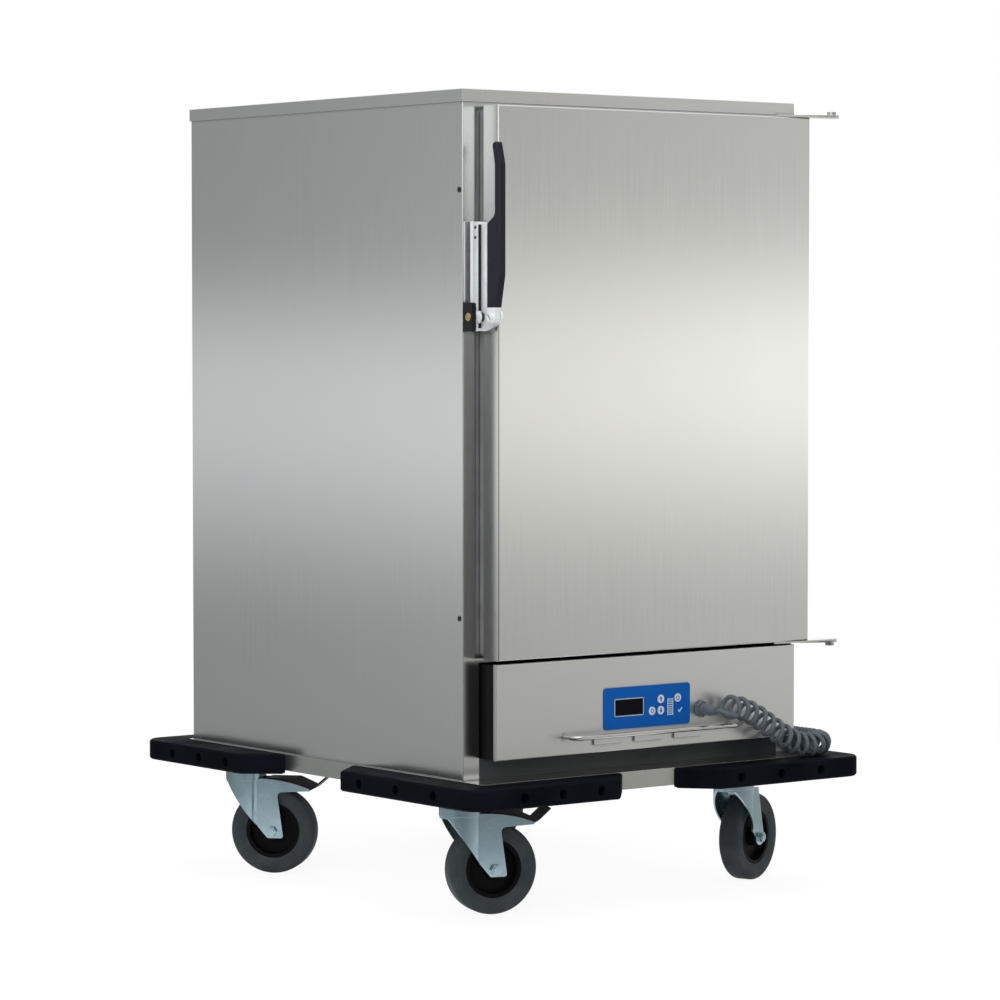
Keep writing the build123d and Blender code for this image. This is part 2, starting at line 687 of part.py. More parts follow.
def make_rack(side):
    """Two posts on the chamber wall carry welded angle runners, each with its leg down."""
    face = CHAMBER_X - RACK_POST_W
    mid_y = (FLANGE_BACK + CHAMBER_REAR) / 2
    half_l = (CHAMBER_REAR - FLANGE_BACK) / 2 - RUNNER_END_GAP
    top = CHAMBER_Z0 + RACK_FIRST + (RACK_LEVELS - 1) * RACK_PITCH + RACK_ABOVE
    solids = []
    for end in (-1, 1):
        y = mid_y + end * (half_l - RACK_POST_INSET)
        solids.append(block(face, CHAMBER_X, y - RACK_POST_D / 2, y + RACK_POST_D / 2, CHAMBER_Z0, top))
    ledge = face - RUNNER_LEDGE
    leg = face - RUNNER_SHEET
    angle = Polyline((face, 0), (ledge, 0), (ledge, -RUNNER_SHEET), (leg, -RUNNER_SHEET), (leg, -RUNNER_LEG),
                     (face, -RUNNER_LEG), close=True)
    runner = extrude(Plane.XZ * make_face(angle), half_l, both=True)
    for level in range(RACK_LEVELS):
        solids.append(Pos(0, mid_y, CHAMBER_Z0 + RACK_FIRST + level * RACK_PITCH) * runner)
    rack = group(solids)
    return rack if side > 0 else mirror(rack, Plane.YZ)


# Heating module: plinth, housing, front panel with controls, and what works inside
MODULE_X0 = PANEL_X0 + MODULE_SIDE_INSET
MODULE_X1 = PANEL_X1 - MODULE_SIDE_INSET
MODULE_REAR = PANEL_BACK + MODULE_D
MODULE_FLOOR = PANEL_Z0 + PANEL_SHEET
FAN_X = MODULE_X1 - PANEL_SHEET - FAN_TO_WALL - FAN_R
FAN_Y = PANEL_BACK + FAN_BACK


def make_plinth():
    """A folded U that closes the space under the module and carries it."""
    half = BODY_X - POST_W
    outer = block(-half, half, BODY_FRONT, MODULE_REAR, CHASSIS_TOP, PANEL_Z0)
    inner = block(-half, half, FLANGE_BACK, MODULE_REAR - SHEET, CHASSIS_TOP, PANEL_Z0 - SHEET)
    return outer - inner


def make_module_housing():
    top = PANEL_Z1 - MODULE_TOP_GAP
    outer = block(MODULE_X0, MODULE_X1, PANEL_BACK, MODULE_REAR, PANEL_Z0, top)
    t = PANEL_SHEET
    return outer - block(MODULE_X0 + t, MODULE_X1 - t, PANEL_BACK, MODULE_REAR - t, MODULE_FLOOR, top)


def make_control_panel():
    x0 = PANEL_X0
    x1 = PANEL_X1
    panel = block(x0, x1, PANEL_Y, PANEL_Y + PANEL_RETURN, PANEL_Z0, PANEL_Z1)
    folds = panel.edges().group_by(Axis.Y)[0]
    panel = fillet(folds, PANEL_SHEET)
    t = PANEL_SHEET
    panel -= block(x0 + t, x1 - t, PANEL_BACK, PANEL_Y + PANEL_RETURN, PANEL_Z0 + t, PANEL_Z1 - t)
    panel -= block(MODULE_X0, MODULE_X1, PANEL_BACK, PANEL_Y + PANEL_RETURN, PANEL_Z0, PANEL_Z0 + t)
    for x in LOUVRES_X:
        panel += louvre_hood(x)
        panel -= louvre_slot(x)
    return panel


def louvre_hood(x):
    half_w = LOUVRE_W / 2
    half_h = LOUVRE_H / 2
    return block(x - half_w, x + half_w, PANEL_Y - LOUVRE_RISE, PANEL_Y, LOUVRE_Z - half_h, LOUVRE_Z + half_h)


def louvre_slot(x):
    """The bridge is open above and below, so air passes behind it."""
    half_w = LOUVRE_W / 2 - PANEL_SHEET
    half_h = LOUVRE_H / 2
    front = PANEL_Y - LOUVRE_RISE + PANEL_SHEET
    return block(x - half_w, x + half_w, front, PANEL_BACK, LOUVRE_Z - half_h, LOUVRE_Z + half_h)


def rounded_plate(mid, width, height, radius, y0, y1):
    x, z = mid
    plate = block(x - width / 2, x + width / 2, y0, y1, z - height / 2, z + height / 2)
    return fillet(plate.edges().filter_by(Axis.Y), radius)


def make_control_film():
    film = rounded_plate((FILM_X, FILM_Z), FILM_W, FILM_H, FILM_R, PANEL_Y - FILM_T, PANEL_Y)
    x = WINDOW_X
    z = WINDOW_Z
    w = WINDOW_W / 2 + WINDOW_FIT
    h = WINDOW_H / 2 + WINDOW_FIT
    film -= block(x - w, x + w, PANEL_Y - FILM_T, PANEL_Y, z - h, z + h)
    for key_x, key_up in KEYS.values():
        film -= rod_y(key_x, PANEL_Z0 + key_up, PANEL_Y - FILM_T, PANEL_Y, KEY_D / 2 + KEY_FIT)
    return film


def make_display_window():
    x = WINDOW_X
    z = WINDOW_Z
    w = WINDOW_W / 2
    h = WINDOW_H / 2
    return block(x - w, x + w, PANEL_Y - FILM_T - WINDOW_PROUD, PANEL_Y, z - h, z + h)


def make_key(place):
    x = place[0]
    z = PANEL_Z0 + place[1]
    back = PANEL_Y - KEY_TRAVEL - KEY_BACK_GAP
    key = rod_y(x, z, back - KEY_T, back, KEY_D / 2)
    return fillet(key.edges().group_by(Axis.Y)[0], KEY_SOFT)


def make_pull_rail():
    x0 = PULL_MID_X - PULL_SPAN / 2
    x1 = PULL_MID_X + PULL_SPAN / 2
    front = PANEL_Y - PULL_REACH
    corners = [(x0, PANEL_Y, PULL_Z), (x0, front, PULL_Z), (x1, front, PULL_Z), (x1, PANEL_Y, PULL_Z)]
    path = FilletPolyline(*corners, radius=PULL_BEND)
    section = Plane(origin=(x0, PANEL_Y, PULL_Z), z_dir=(0, -1, 0)) * Circle(RAIL_ROD_R)
    return sweep(section, path=path)


def make_heater():
    """A tubular element in two hairpins, held by its ends in the module's left wall."""
    wall = MODULE_X0 + PANEL_SHEET
    z = MODULE_FLOOR + HEATER_UP
    y = PANEL_BACK + FAN_BACK - HEATER_LOOP * 1.5
    far = FAN_X - FAN_R - HEATER_TO_FAN
    near = wall + HEATER_LOOP
    turn = (HEATER_LOOP - HEATER_STRAIGHT) / 2
    path = FilletPolyline(
        (wall, y, z), (far, y, z), (far, y + HEATER_LOOP, z), (near, y + HEATER_LOOP, z),
        (near, y + 2 * HEATER_LOOP, z), (far, y + 2 * HEATER_LOOP, z), (far, y + 3 * HEATER_LOOP, z),
        (wall, y + 3 * HEATER_LOOP, z), radius=turn,
    )
    section = Plane(origin=(wall, y, z), z_dir=(1, 0, 0)) * Circle(HEATER_R)
    return sweep(section, path=path)


MOTOR_TOP = MODULE_FLOOR + MOTOR_FOOT_T + MOTOR_H
FAN_Z0 = MOTOR_TOP + FAN_CLEAR


def make_fan_motor():
    half = MOTOR_FOOT / 2
    foot_top = MODULE_FLOOR + MOTOR_FOOT_T
    motor = block(FAN_X - half, FAN_X + half, FAN_Y - half, FAN_Y + half, MODULE_FLOOR, foot_top)
    can = rod_z(FAN_X, FAN_Y, foot_top, MOTOR_TOP, MOTOR_R)
    motor += fillet(can.edges().group_by(Axis.Z)[-1], MOTOR_EDGE_R)
    return motor + rod_z(FAN_X, FAN_Y, MOTOR_TOP, FAN_Z0 + FAN_H, MOTOR_SHAFT_R)


def make_fan_wheel():
    """A radial impeller: back plate, leaning blades and a front ring, on a hub."""
    wheel = rod_z(0, 0, FAN_Z0, FAN_Z0 + FAN_SHEET, FAN_R)
    wheel += rod_z(0, 0, FAN_Z0, FAN_Z0 + FAN_HUB_H, FAN_HUB_R)
    ring = rod_z(0, 0, FAN_Z0 + FAN_H - FAN_SHEET, FAN_Z0 + FAN_H, FAN_R)
    ring -= rod_z(0, 0, FAN_Z0 + FAN_H - FAN_SHEET, FAN_Z0 + FAN_H, FAN_EYE_R)
    wheel += ring
    half_l = FAN_BLADE_L / 2
    half_t = FAN_SHEET / 2
    blade = block(-half_l, half_l, -half_t, half_t, FAN_Z0 + FAN_SHEET, FAN_Z0 + FAN_H - FAN_SHEET)
    for i in range(FAN_BLADES):
        place = Rot(0, 0, 360 / FAN_BLADES * i) * Pos(FAN_BLADE_MID, 0, 0)
        wheel += place * Rot(0, 0, FAN_BLADE_LEAN) * blade
    wheel -= rod_z(0, 0, FAN_Z0, FAN_Z0 + FAN_H, MOTOR_SHAFT_R + RUN_FIT)
    return Pos(FAN_X, FAN_Y, 0) * wheel


def make_controller_box():
    width, depth, height = CONTROLLER
    middle = Pos(FILM_X, PANEL_BACK + depth / 2, FILM_Z)
    box = middle * Box(width, depth, height)
    return fillet(box.edges().filter_by(Axis.Y), FILM_R)


# Door: outer and inner pans round the insulation, the seal, and the outboard pivot hinge
def make_door_skin():
    pan = block(DOOR_X0, DOOR_X1, DOOR_FRONT, DOOR_BACK, DOOR_Z0, DOOR_Z1)
    pan = fillet(pan.edges().group_by(Axis.Y)[0], DOOR_EDGE_R)
    t = SHEET
    return pan - block(DOOR_X0 + t, DOOR_X1 - t, DOOR_FRONT + t, DOOR_BACK, DOOR_Z0 + t, DOOR_Z1 - t)


def make_door_liner():
    t = SHEET
    return block(DOOR_X0 + t, DOOR_X1 - t, DOOR_BACK - t, DOOR_BACK, DOOR_Z0 + t, DOOR_Z1 - t)


def make_door_insulation():
    soft = DOOR_EDGE_R
    depth = (DOOR_FRONT + SHEET, DOOR_BACK - SHEET)
    return block(DOOR_X0 + soft, DOOR_X1 - soft, *depth, DOOR_Z0 + soft, DOOR_Z1 - soft)


def make_door_gasket():
    """A soft frame on the door's inner face that meets the cabinet all round the chamber."""
    x = CHAMBER_X + GASKET_LAP
    z0 = CHAMBER_Z0 - GASKET_LAP
    z1 = CHAMBER_Z1 + GASKET_LAP
    back = BODY_FRONT - SEAL_GAP
    ring = block(-x, x, DOOR_BACK, back, z0, z1)
    ring = fillet(ring.edges().filter_by(Axis.Y), GASKET_W / 2)
    w = GASKET_W
    return ring - block(w - x, x - w, DOOR_BACK, back, z0 + w, z1 - w)


def hinge_plate(seat, bore, z0):
    """A flat plate from its seat to an eye round the pivot."""
    x0, x1, y0, y1 = seat
    edges = (Pos(PIVOT_X, PIVOT_Y) * Circle(HINGE_EYE_R)).edges()
    edges += (Pos((x0 + x1) / 2, (y0 + y1) / 2) * Rectangle(x1 - x0, y1 - y0)).edges()
    plate = extrude(Pos(0, 0, z0) * make_hull(edges), HINGE_PLATE, dir=(0, 0, 1))
    return plate - rod_z(PIVOT_X, PIVOT_Y, z0, z0 + HINGE_PLATE, bore)


ARM_LOW_Z = DOOR_Z0 - HINGE_PLATE
ARM_HIGH_Z = DOOR_Z1
BRACKET_LOW_Z = ARM_LOW_Z - HINGE_GAP - HINGE_PLATE
BRACKET_HIGH_Z = ARM_HIGH_Z + HINGE_PLATE + HINGE_GAP


def make_hinge_arms():
    seat = (DOOR_X1 - HINGE_ARM_ON_DOOR, DOOR_X1, DOOR_FRONT + DOOR_EDGE_R, DOOR_BACK - DOOR_EDGE_R)
    return group([hinge_plate(seat, HINGE_PIN_R + RUN_FIT, z) for z in (ARM_LOW_Z, ARM_HIGH_Z)])


def make_hinge_brackets():
    seat = (BODY_X - HINGE_BRACKET_ON_POST, BODY_X, BODY_FRONT - HINGE_BRACKET_D, BODY_FRONT)
    high = hinge_plate(seat, HINGE_PIN_R, BRACKET_HIGH_Z)
    low = hinge_plate(seat, HINGE_PIN_R, BRACKET_LOW_Z)
    side = Polyline((BODY_FRONT, BRACKET_LOW_Z), (BODY_FRONT - GUSSET_D, BRACKET_LOW_Z),
                    (BODY_FRONT, BRACKET_LOW_Z - GUSSET_H), close=True)
    gusset = extrude(on_yz(BODY_X - GUSSET_INSET, make_face(side)), HINGE_PLATE, dir=(1, 0, 0))
    return group([high, low + gusset])


def make_hinge_pins():
    high_top = BRACKET_HIGH_Z + HINGE_PLATE
    high = rod_z(PIVOT_X, PIVOT_Y, ARM_HIGH_Z, high_top, HINGE_PIN_R)
    high += rod_z(PIVOT_X, PIVOT_Y, high_top, high_top + HINGE_HEAD_H, HINGE_HEAD_R)
    low = rod_z(PIVOT_X, PIVOT_Y, BRACKET_LOW_Z, DOOR_Z0, HINGE_PIN_R)
    low += rod_z(PIVOT_X, PIVOT_Y, BRACKET_LOW_Z - HINGE_HEAD_H, BRACKET_LOW_Z, HINGE_HEAD_R)
    return group([high, low])


# Latch: a cast case on the door's free edge, a lever on a cross pin, and a bolt into a strike block
LATCH_Z0 = DOOR_Z0 + LATCH_UP
LATCH_Z1 = LATCH_Z0 + LATCH_L
STRIP_BACK = DOOR_BACK + LATCH_STRIP_BEHIND
STRIP_FRONT = STRIP_BACK - LATCH_STRIP_T
STRIP_X0 = DOOR_X0 - LATCH_STRIP_W
LEVER_X1 = DOOR_X0 - LATCH_CHEEK - LEVER_GAP
LEVER_X0 = LEVER_X1 - LEVER_T
LEVER_PIVOT_Y = DOOR_FRONT - LEVER_PIVOT_FWD
LEVER_PIVOT_Z = LATCH_Z0 + LEVER_PIVOT_UP
BOLT_Y = STRIP_FRONT - LATCH_STRIP_T / 2
BOLT_Z = LEVER_PIVOT_Z
STRIKE_X1 = STRIP_X0 - STRIKE_GAP
BOLT_X0 = STRIKE_X1 - STRIKE_LAP


def make_latch_case():
    """A cast angle: a strip across the gap, and a cheek on the door's edge that carries the lever's pin."""
    nose = STRIP_FRONT - LATCH_BULGE
    lobe = LATCH_LOBE_R
    cheek = make_face(
        Polyline((STRIP_FRONT, LATCH_Z0), (STRIP_FRONT, LATCH_Z1),
                 (nose + LATCH_TOP_DRAW, LATCH_Z1 - LATCH_TOP_SLOPE), (nose, LATCH_Z0 + LATCH_L / 2),
                 (LEVER_PIVOT_Y + lobe, LEVER_PIVOT_Z + lobe), (LEVER_PIVOT_Y, LEVER_PIVOT_Z - lobe),
                 (STRIP_FRONT - LATCH_BULGE / 2, LATCH_Z0), close=True)
    )
    cheek += Pos(LEVER_PIVOT_Y, LEVER_PIVOT_Z) * Circle(lobe)
    case = extrude(on_yz(DOOR_X0, cheek), LATCH_CHEEK, dir=(-1, 0, 0))
    case += block(STRIP_X0, DOOR_X0, STRIP_FRONT, STRIP_BACK, LATCH_Z0, LATCH_Z1)
    lip = (STRIP_FRONT - LATCH_LIP_D, STRIP_FRONT)
    case += block(STRIP_X0, STRIP_X0 + LATCH_LIP_W, *lip, LATCH_Z0, LATCH_Z1)
    case += rod_x(BOLT_Y, BOLT_Z, STRIP_X0, STRIP_X0 + LATCH_BOSS_L, BOLT_R + LATCH_BOSS_WALL)
    case -= rod_x(BOLT_Y, BOLT_Z, STRIP_X0, DOOR_X0, BOLT_R + BOLT_FIT)
    head = LEVER_X0 - LEVER_GAP
    case += rod_x(LEVER_PIVOT_Y, LEVER_PIVOT_Z, head, DOOR_X0 - LATCH_CHEEK, LEVER_PIN_R)
    case += rod_x(LEVER_PIVOT_Y, LEVER_PIVOT_Z, head - LEVER_HEAD_H, head, LEVER_HEAD_R)
    return case


def make_latch_handle():
    """The moulded lever: pivot boss, deep body with a kink, and a grip clear of the door."""
    front = DOOR_FRONT - LEVER_FWD
    body = front + LEVER_BODY_D
    grip = front + LEVER_GRIP_D
    z = LEVER_PIVOT_Z
    boss = LEVER_BOSS_R
    top = z + LEVER_TOP
    neck = top - LEVER_TIP_L
    step = (grip, z + LEVER_BODY_TOP + LEVER_STEP)
    kink = (front, z + LEVER_KINK)
    tip_front = (front + LEVER_TIP_LEAN, top)
    tip_back = (front + LEVER_TIP_LEAN + LEVER_TIP_W, top - LEVER_TIP_R)
    outline = make_face(
        Polyline(kink, (front, neck), tip_front, tip_back, (grip, neck), step, (body, z + LEVER_BODY_TOP),
                 (body, z + 2 * boss), (LEVER_PIVOT_Y + boss, z), (LEVER_PIVOT_Y - boss, z), close=True)
    )
    rounds = {tip_front: LEVER_TIP_R, tip_back: LEVER_TIP_R, step: LEVER_STEP_R, kink: LEVER_KINK_R}
    for corner, radius in rounds.items():
        outline = fillet([outline.vertices().sort_by_distance(corner)[0]], radius)
    outline += Pos(LEVER_PIVOT_Y, z) * Circle(boss)
    lever = extrude(on_yz(LEVER_X0, outline), LEVER_T, dir=(1, 0, 0))
    lever = chamfer(lever.faces().filter_by(Axis.X).edges(), LEVER_SOFT)
    return lever - rod_x(LEVER_PIVOT_Y, z, LEVER_X0, LEVER_X1, LEVER_PIN_R + RUN_FIT)


def make_latch_bolt():
    bolt = rod_x(BOLT_Y, BOLT_Z, BOLT_X0, BOLT_X0 + BOLT_L, BOLT_R)
    return chamfer(bolt.edges().group_by(Axis.X)[0], BOLT_CHAMFER)


def make_strike_block():
    x0 = STRIKE_X1 - STRIKE_W
    half_h = STRIKE_H / 2
    strike = block(x0, STRIKE_X1, BODY_FRONT - STRIKE_D, BODY_FRONT, BOLT_Z - half_h, BOLT_Z + half_h)
    strike = fillet(strike.edges().filter_by(Axis.X).group_by(Axis.Y)[0], STRIKE_R)
    return strike - rod_x(BOLT_Y, BOLT_Z, x0, STRIKE_X1, BOLT_R + STRIKE_FIT)


# Curly cord: gland, one unbroken wound tube, and the plug
COIL_R = (COIL_D - CORD_D) / 2
COIL_Y = PANEL_Y - COIL_FWD
COIL_LOW = CHASSIS_TOP + COIL_D / 2 + COIL_REST
COIL_WALL_X = BODY_X + COIL_D / 2 + COIL_WALL_GAP
COIL_TURN_X = COIL_WALL_X - COIL_CORNER_R
COIL_TURNS = COIL_TURNS_FRONT + COIL_TURNS_CORNER + COIL_TURNS_SIDE


def coil_axis(turn):
    """The line that the curls wind round: down to the buffer, round the corner, then along the wall."""
    if turn <= COIL_TURNS_FRONT:
        share = turn / COIL_TURNS_FRONT
        x = COIL_X0 + share * (COIL_TURN_X - COIL_X0)
        z = COIL_LOW + (COIL_Z0 - COIL_LOW) * (1 + cos(pi * share)) / 2
        return Vector(x, COIL_Y, z)
    if turn <= COIL_TURNS_FRONT + COIL_TURNS_CORNER:
        angle = pi / 2 * (turn - COIL_TURNS_FRONT) / COIL_TURNS_CORNER
        x = COIL_TURN_X + COIL_CORNER_R * sin(angle)
        return Vector(x, COIL_Y + COIL_CORNER_R * (1 - cos(angle)), COIL_LOW)
    along = (turn - COIL_TURNS_FRONT - COIL_TURNS_CORNER) * COIL_SIDE_PITCH
    return Vector(COIL_WALL_X, COIL_Y + COIL_CORNER_R + along, COIL_LOW)


def curl_point(turn):
    """A point of the wound tube: it starts under the axis and winds back, up, forward and down."""
    step = 0.01
    ahead = coil_axis(min(turn + step, COIL_TURNS))
    behind = coil_axis(max(turn - step, 0))
    along = (ahead - behind).normalized()
    outward = along.cross(Vector(0, 0, 1)).normalized()
    upward = outward.cross(along)
    phase = pi / 2 + 2 * pi * turn
    return coil_axis(turn) + outward * (COIL_R * cos(phase)) - upward * (COIL_R * sin(phase))


def curl_direction(turn):
    step = 0.005
    return (curl_point(min(turn + step, COIL_TURNS)) - curl_point(max(turn - step, 0))).normalized()


def biarc(start, start_dir, end, end_dir):
    """Two arcs that leave start and reach end along the given directions."""
    chord = end - start
    both = start_dir + end_dir
    turn = 2 * (1 - start_dir.dot(end_dir))
    reach = chord.dot(both)
    if turn < 1e-9:
        arm = chord.dot(chord) / (2 * reach)
    else:
        arm = (-reach + (reach * reach + turn * chord.dot(chord)) ** 0.5) / turn
    middle = (start + start_dir * arm + end - end_dir * arm) * 0.5
    middle_dir = (end - end_dir * arm - start - start_dir * arm).normalized()
    return [Edge.make_tangent_arc(start, start_dir, middle), Edge.make_tangent_arc(middle, middle_dir, end)]


PLUG_Z = BUMPER_Z1 + PLUG_D / 2 + COIL_REST
CORD_EXIT = Vector(GLAND_X, PANEL_Y - GLAND_L, GLAND_Z)


def cord_stations():
    """Places and directions that the cord passes, from the gland to the plug."""
    out = Vector(0, -1, 0)
    back = Vector(0, 1, 0)
    lead = CORD_EXIT + out * CORD_D
    first = curl_point(0)
    bend = Vector((lead.X + first.X) / 2, CORD_EXIT.Y - LEAD_REACH, CORD_EXIT.Z - LEAD_DROP)
    stations = [(lead, out), (bend, Vector(1, 0, -0.3).normalized())]
    halves = round(2 * COIL_TURNS)
    stations += [(curl_point(i / 2), curl_direction(i / 2)) for i in range(halves + 1)]
    last = curl_point(COIL_TURNS)
    stations.append((Vector(last.X - TAIL_BEND, last.Y + TAIL_BEND, last.Z), back))
    plug_y = last.Y + TAIL_BEND + TAIL_L
    stations.append((Vector(COIL_WALL_X, plug_y - CORD_D, PLUG_Z), back))
    return stations


def make_cord():
    stations = cord_stations()
    edges = [Edge.make_line(CORD_EXIT, stations[0][0])]
    for (p0, d0), (p1, d1) in zip(stations, stations[1:]):
        edges += biarc(p0, d0, p1, d1)
    end = stations[-1][0]
    edges.append(Edge.make_line(end, end + Vector(0, CORD_D, 0)))
    path = Wire(edges)
    print("cord length", round(path.length, 1), "least gap", round(least_gap(edges), 2))
    section = Plane(origin=CORD_EXIT, z_dir=(0, -1, 0)) * Circle(CORD_D / 2)
    tube = sweep(section, path=path)
    plain_volume = pi * CORD_D ** 2 / 4 * path.length
    print("tube volume over section times length", round(tube.volume / plain_volume, 4))
    return tube


def least_gap(edges):
    """The smallest space between stretches of the cord that aren't neighbours along it."""
    marks = []
    run = 0.0
    for edge in edges:
        parts = max(2, round(edge.length / 3))
        marks += [(run + edge.length * k / parts, edge.position_at(k / parts)) for k in range(parts)]
        run += edge.length
    gap = COIL_D
    for i, (s0, p0) in enumerate(marks):
        for s1, p1 in marks[i + 1:]:
            if s1 - s0 > 3 * CORD_D:
                gap = min(gap, (p1 - p0).length - CORD_D)
    return gap


def make_cord_gland():
    """A hexagon nut on the panel and a tapered sleeve that keeps the cord from kinking."""
    hexagon = RegularPolygon(GLAND_NUT_AF / 2, 6, major_radius=False)
    nut = extrude(Plane(origin=(GLAND_X, PANEL_Y, GLAND_Z), z_dir=(0, -1, 0)) * hexagon, GLAND_NUT_H)
    waist = GLAND_SLEEVE_D / 2
    sleeve = turned([(0, GLAND_NUT_H), (waist, GLAND_NUT_H), (waist, GLAND_SLEEVE_L),
                     (GLAND_MOUTH_D / 2, GLAND_L), (0, GLAND_L)])
    return nut + Pos(GLAND_X, PANEL_Y, GLAND_Z) * Rot(90, 0, 0) * sleeve


def make_plug():
    """A round moulded plug with two pins, lying on the buffer behind the curls."""
    rear = cord_stations()[-1][0].Y + CORD_D
    collar = PLUG_NECK_L + PLUG_COLLAR_L
    face = PLUG_NECK_L + PLUG_L
    body = turned([(0, 0), (PLUG_MOUTH_D / 2, 0), (PLUG_NECK_D / 2, PLUG_NECK_L), (PLUG_COLLAR_D / 2, collar),
                   (PLUG_D / 2, collar + PLUG_SHOULDER_L), (PLUG_D / 2, face), (0, face)])
    place = Pos(COIL_WALL_X, rear, PLUG_Z) * Rot(-90, 0, 0)
    pins = []
    for side in (-1, 1):
        pin = Pos(side * PLUG_PIN_GAP / 2, 0, face + PLUG_PIN_L / 2) * Cylinder(PLUG_PIN_D / 2, PLUG_PIN_L)
        pins.append(place * fillet(pin.edges().group_by(Axis.Z)[-1], PLUG_PIN_D / 3))
    return group([place * body, *pins])


def build_parts():
    parts = {
        "chassis_frame": make_chassis_frame(),
        "castor_rails": make_castor_rails(),
        "bumper_screws": make_bumper_screws(),
        "side_left": make_side(-1),
        "side_right": make_side(1),
        "back_panel": make_back_panel(),
        "top_cover": make_top_cover(),
        "front_rails": make_front_rails(),
        "body_floor": make_body_floor(),
        "inner_liner": make_inner_liner(),
        "insulation": make_insulation(),
        "rack_left": make_rack(-1),
        "rack_right": make_rack(1),
        "plinth": make_plinth(),
        "module_housing": make_module_housing(),
        "control_panel": make_control_panel(),
        "control_film": make_control_film(),
        "display_window": make_display_window(),
        "pull_rail": make_pull_rail(),
        "heater_element": make_heater(),
        "fan_motor": make_fan_motor(),
        "fan_wheel": make_fan_wheel(),
        "controller_box": make_controller_box(),
        "door_skin": make_door_skin(),
        "door_liner": make_door_liner(),
        "door_insulation": make_door_insulation(),
        "door_gasket": make_door_gasket(),
        "hinge_arms": make_hinge_arms(),
        "hinge_brackets": make_hinge_brackets(),
        "hinge_pins": make_hinge_pins(),
        "latch_case": make_latch_case(),
        "latch_handle": make_latch_handle(),
        "latch_bolt": make_latch_bolt(),
        "strike_block": make_strike_block(),
        "cord_gland": make_cord_gland(),
        "cord_curl": make_cord(),
        "plug": make_plug(),
    }
    for name, corner in BUMPERS.items():
        parts["bumper_" + name] = make_bumper(*corner)
    for name, place in KEYS.items():
        parts[name] = make_key(place)
    plates = []
    for name, (_, _, _, with_brake) in CASTORS.items():
        place = castor_place(name)
        plates.append(Pos(*place.position) * make_castor_plate())
        parts["fork_" + name] = place * make_fork(with_brake)
        parts["wheel_" + name] = place * make_wheel()
        parts["tyre_" + name] = place * make_tyre()
        if with_brake:
            parts["brake_" + name] = place * make_brake()
    parts["castor_plates"] = group(plates)
    return parts


os.makedirs("parts", exist_ok=True)
for node, shape in build_parts().items():
    export_step(shape, "parts/" + node + ".step")
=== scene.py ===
from math import cos, pi, radians, sin

import bmesh
import bpy
from mathutils import Matrix, Vector


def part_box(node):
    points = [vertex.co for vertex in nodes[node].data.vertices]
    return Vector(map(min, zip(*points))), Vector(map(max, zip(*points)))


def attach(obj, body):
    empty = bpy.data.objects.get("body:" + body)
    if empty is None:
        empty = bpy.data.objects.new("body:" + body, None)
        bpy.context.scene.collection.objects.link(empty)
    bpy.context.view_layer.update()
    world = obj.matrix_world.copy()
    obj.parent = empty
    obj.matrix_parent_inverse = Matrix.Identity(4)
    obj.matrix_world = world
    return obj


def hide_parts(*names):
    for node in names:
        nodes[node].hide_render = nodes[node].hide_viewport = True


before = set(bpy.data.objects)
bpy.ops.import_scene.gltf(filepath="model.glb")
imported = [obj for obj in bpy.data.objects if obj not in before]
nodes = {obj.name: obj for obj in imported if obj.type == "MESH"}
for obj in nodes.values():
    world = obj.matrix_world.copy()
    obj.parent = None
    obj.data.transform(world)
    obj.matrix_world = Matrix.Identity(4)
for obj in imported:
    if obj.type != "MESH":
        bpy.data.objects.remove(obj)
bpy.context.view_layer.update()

scene = bpy.context.scene
scene.view_settings.view_transform = "Standard"


# Chassis deck and castor rails.
# A folded stainless pan closes the underside of the cart. Two painted box rails are welded under it
# and take the castor plates.
MM = 0.001
STEEL = (0.70, 0.70, 0.685)
GRAIN_UPRIGHT = (900.0, 900.0, 7.0)
GRAIN_ACROSS = (7.0, 900.0, 900.0)
# How far the painted shade in the creases of the stainless reaches.
CREASE_SHADE_REACH = 6.0 * MM
STEEL_EDGE = 0.8 * MM
SCRATCH_DEPTH = 0.2 * MM
FINISH_EDGE = 0.6 * MM


def new_finish(name, color, roughness, metallic=0.0, specular=0.5):
    """A material with one Principled shader; returns the material, its tree and the shader."""
    material = bpy.data.materials.new(name)
    material.use_nodes = True
    tree = material.node_tree
    shader = tree.nodes["Principled BSDF"]
    shader.inputs["Base Color"].default_value = (*color, 1.0)
    shader.inputs["Roughness"].default_value = roughness
    shader.inputs["Metallic"].default_value = metallic
    shader.inputs["Specular IOR Level"].default_value = specular
    return material, tree, shader


def object_grain(tree, scale):
    """Object coordinates stretched so that a texture's marks run along the smallest scale."""
    coords = tree.nodes.new("ShaderNodeTexCoord")
    mapping = tree.nodes.new("ShaderNodeMapping")
    mapping.inputs["Scale"].default_value = scale
    tree.links.new(coords.outputs["Object"], mapping.inputs["Vector"])
    return mapping.outputs["Vector"]


def new_group(name, inputs, outputs):
    """An empty shader group with named sockets; returns it with its two end nodes."""
    group = bpy.data.node_groups.new(name, "ShaderNodeTree")
    for label, kind in inputs:
        group.interface.new_socket(label, in_out="INPUT", socket_type=kind)
    for label, kind in outputs:
        group.interface.new_socket(label, in_out="OUTPUT", socket_type=kind)
    return group, group.nodes.new("NodeGroupInput"), group.nodes.new("NodeGroupOutput")


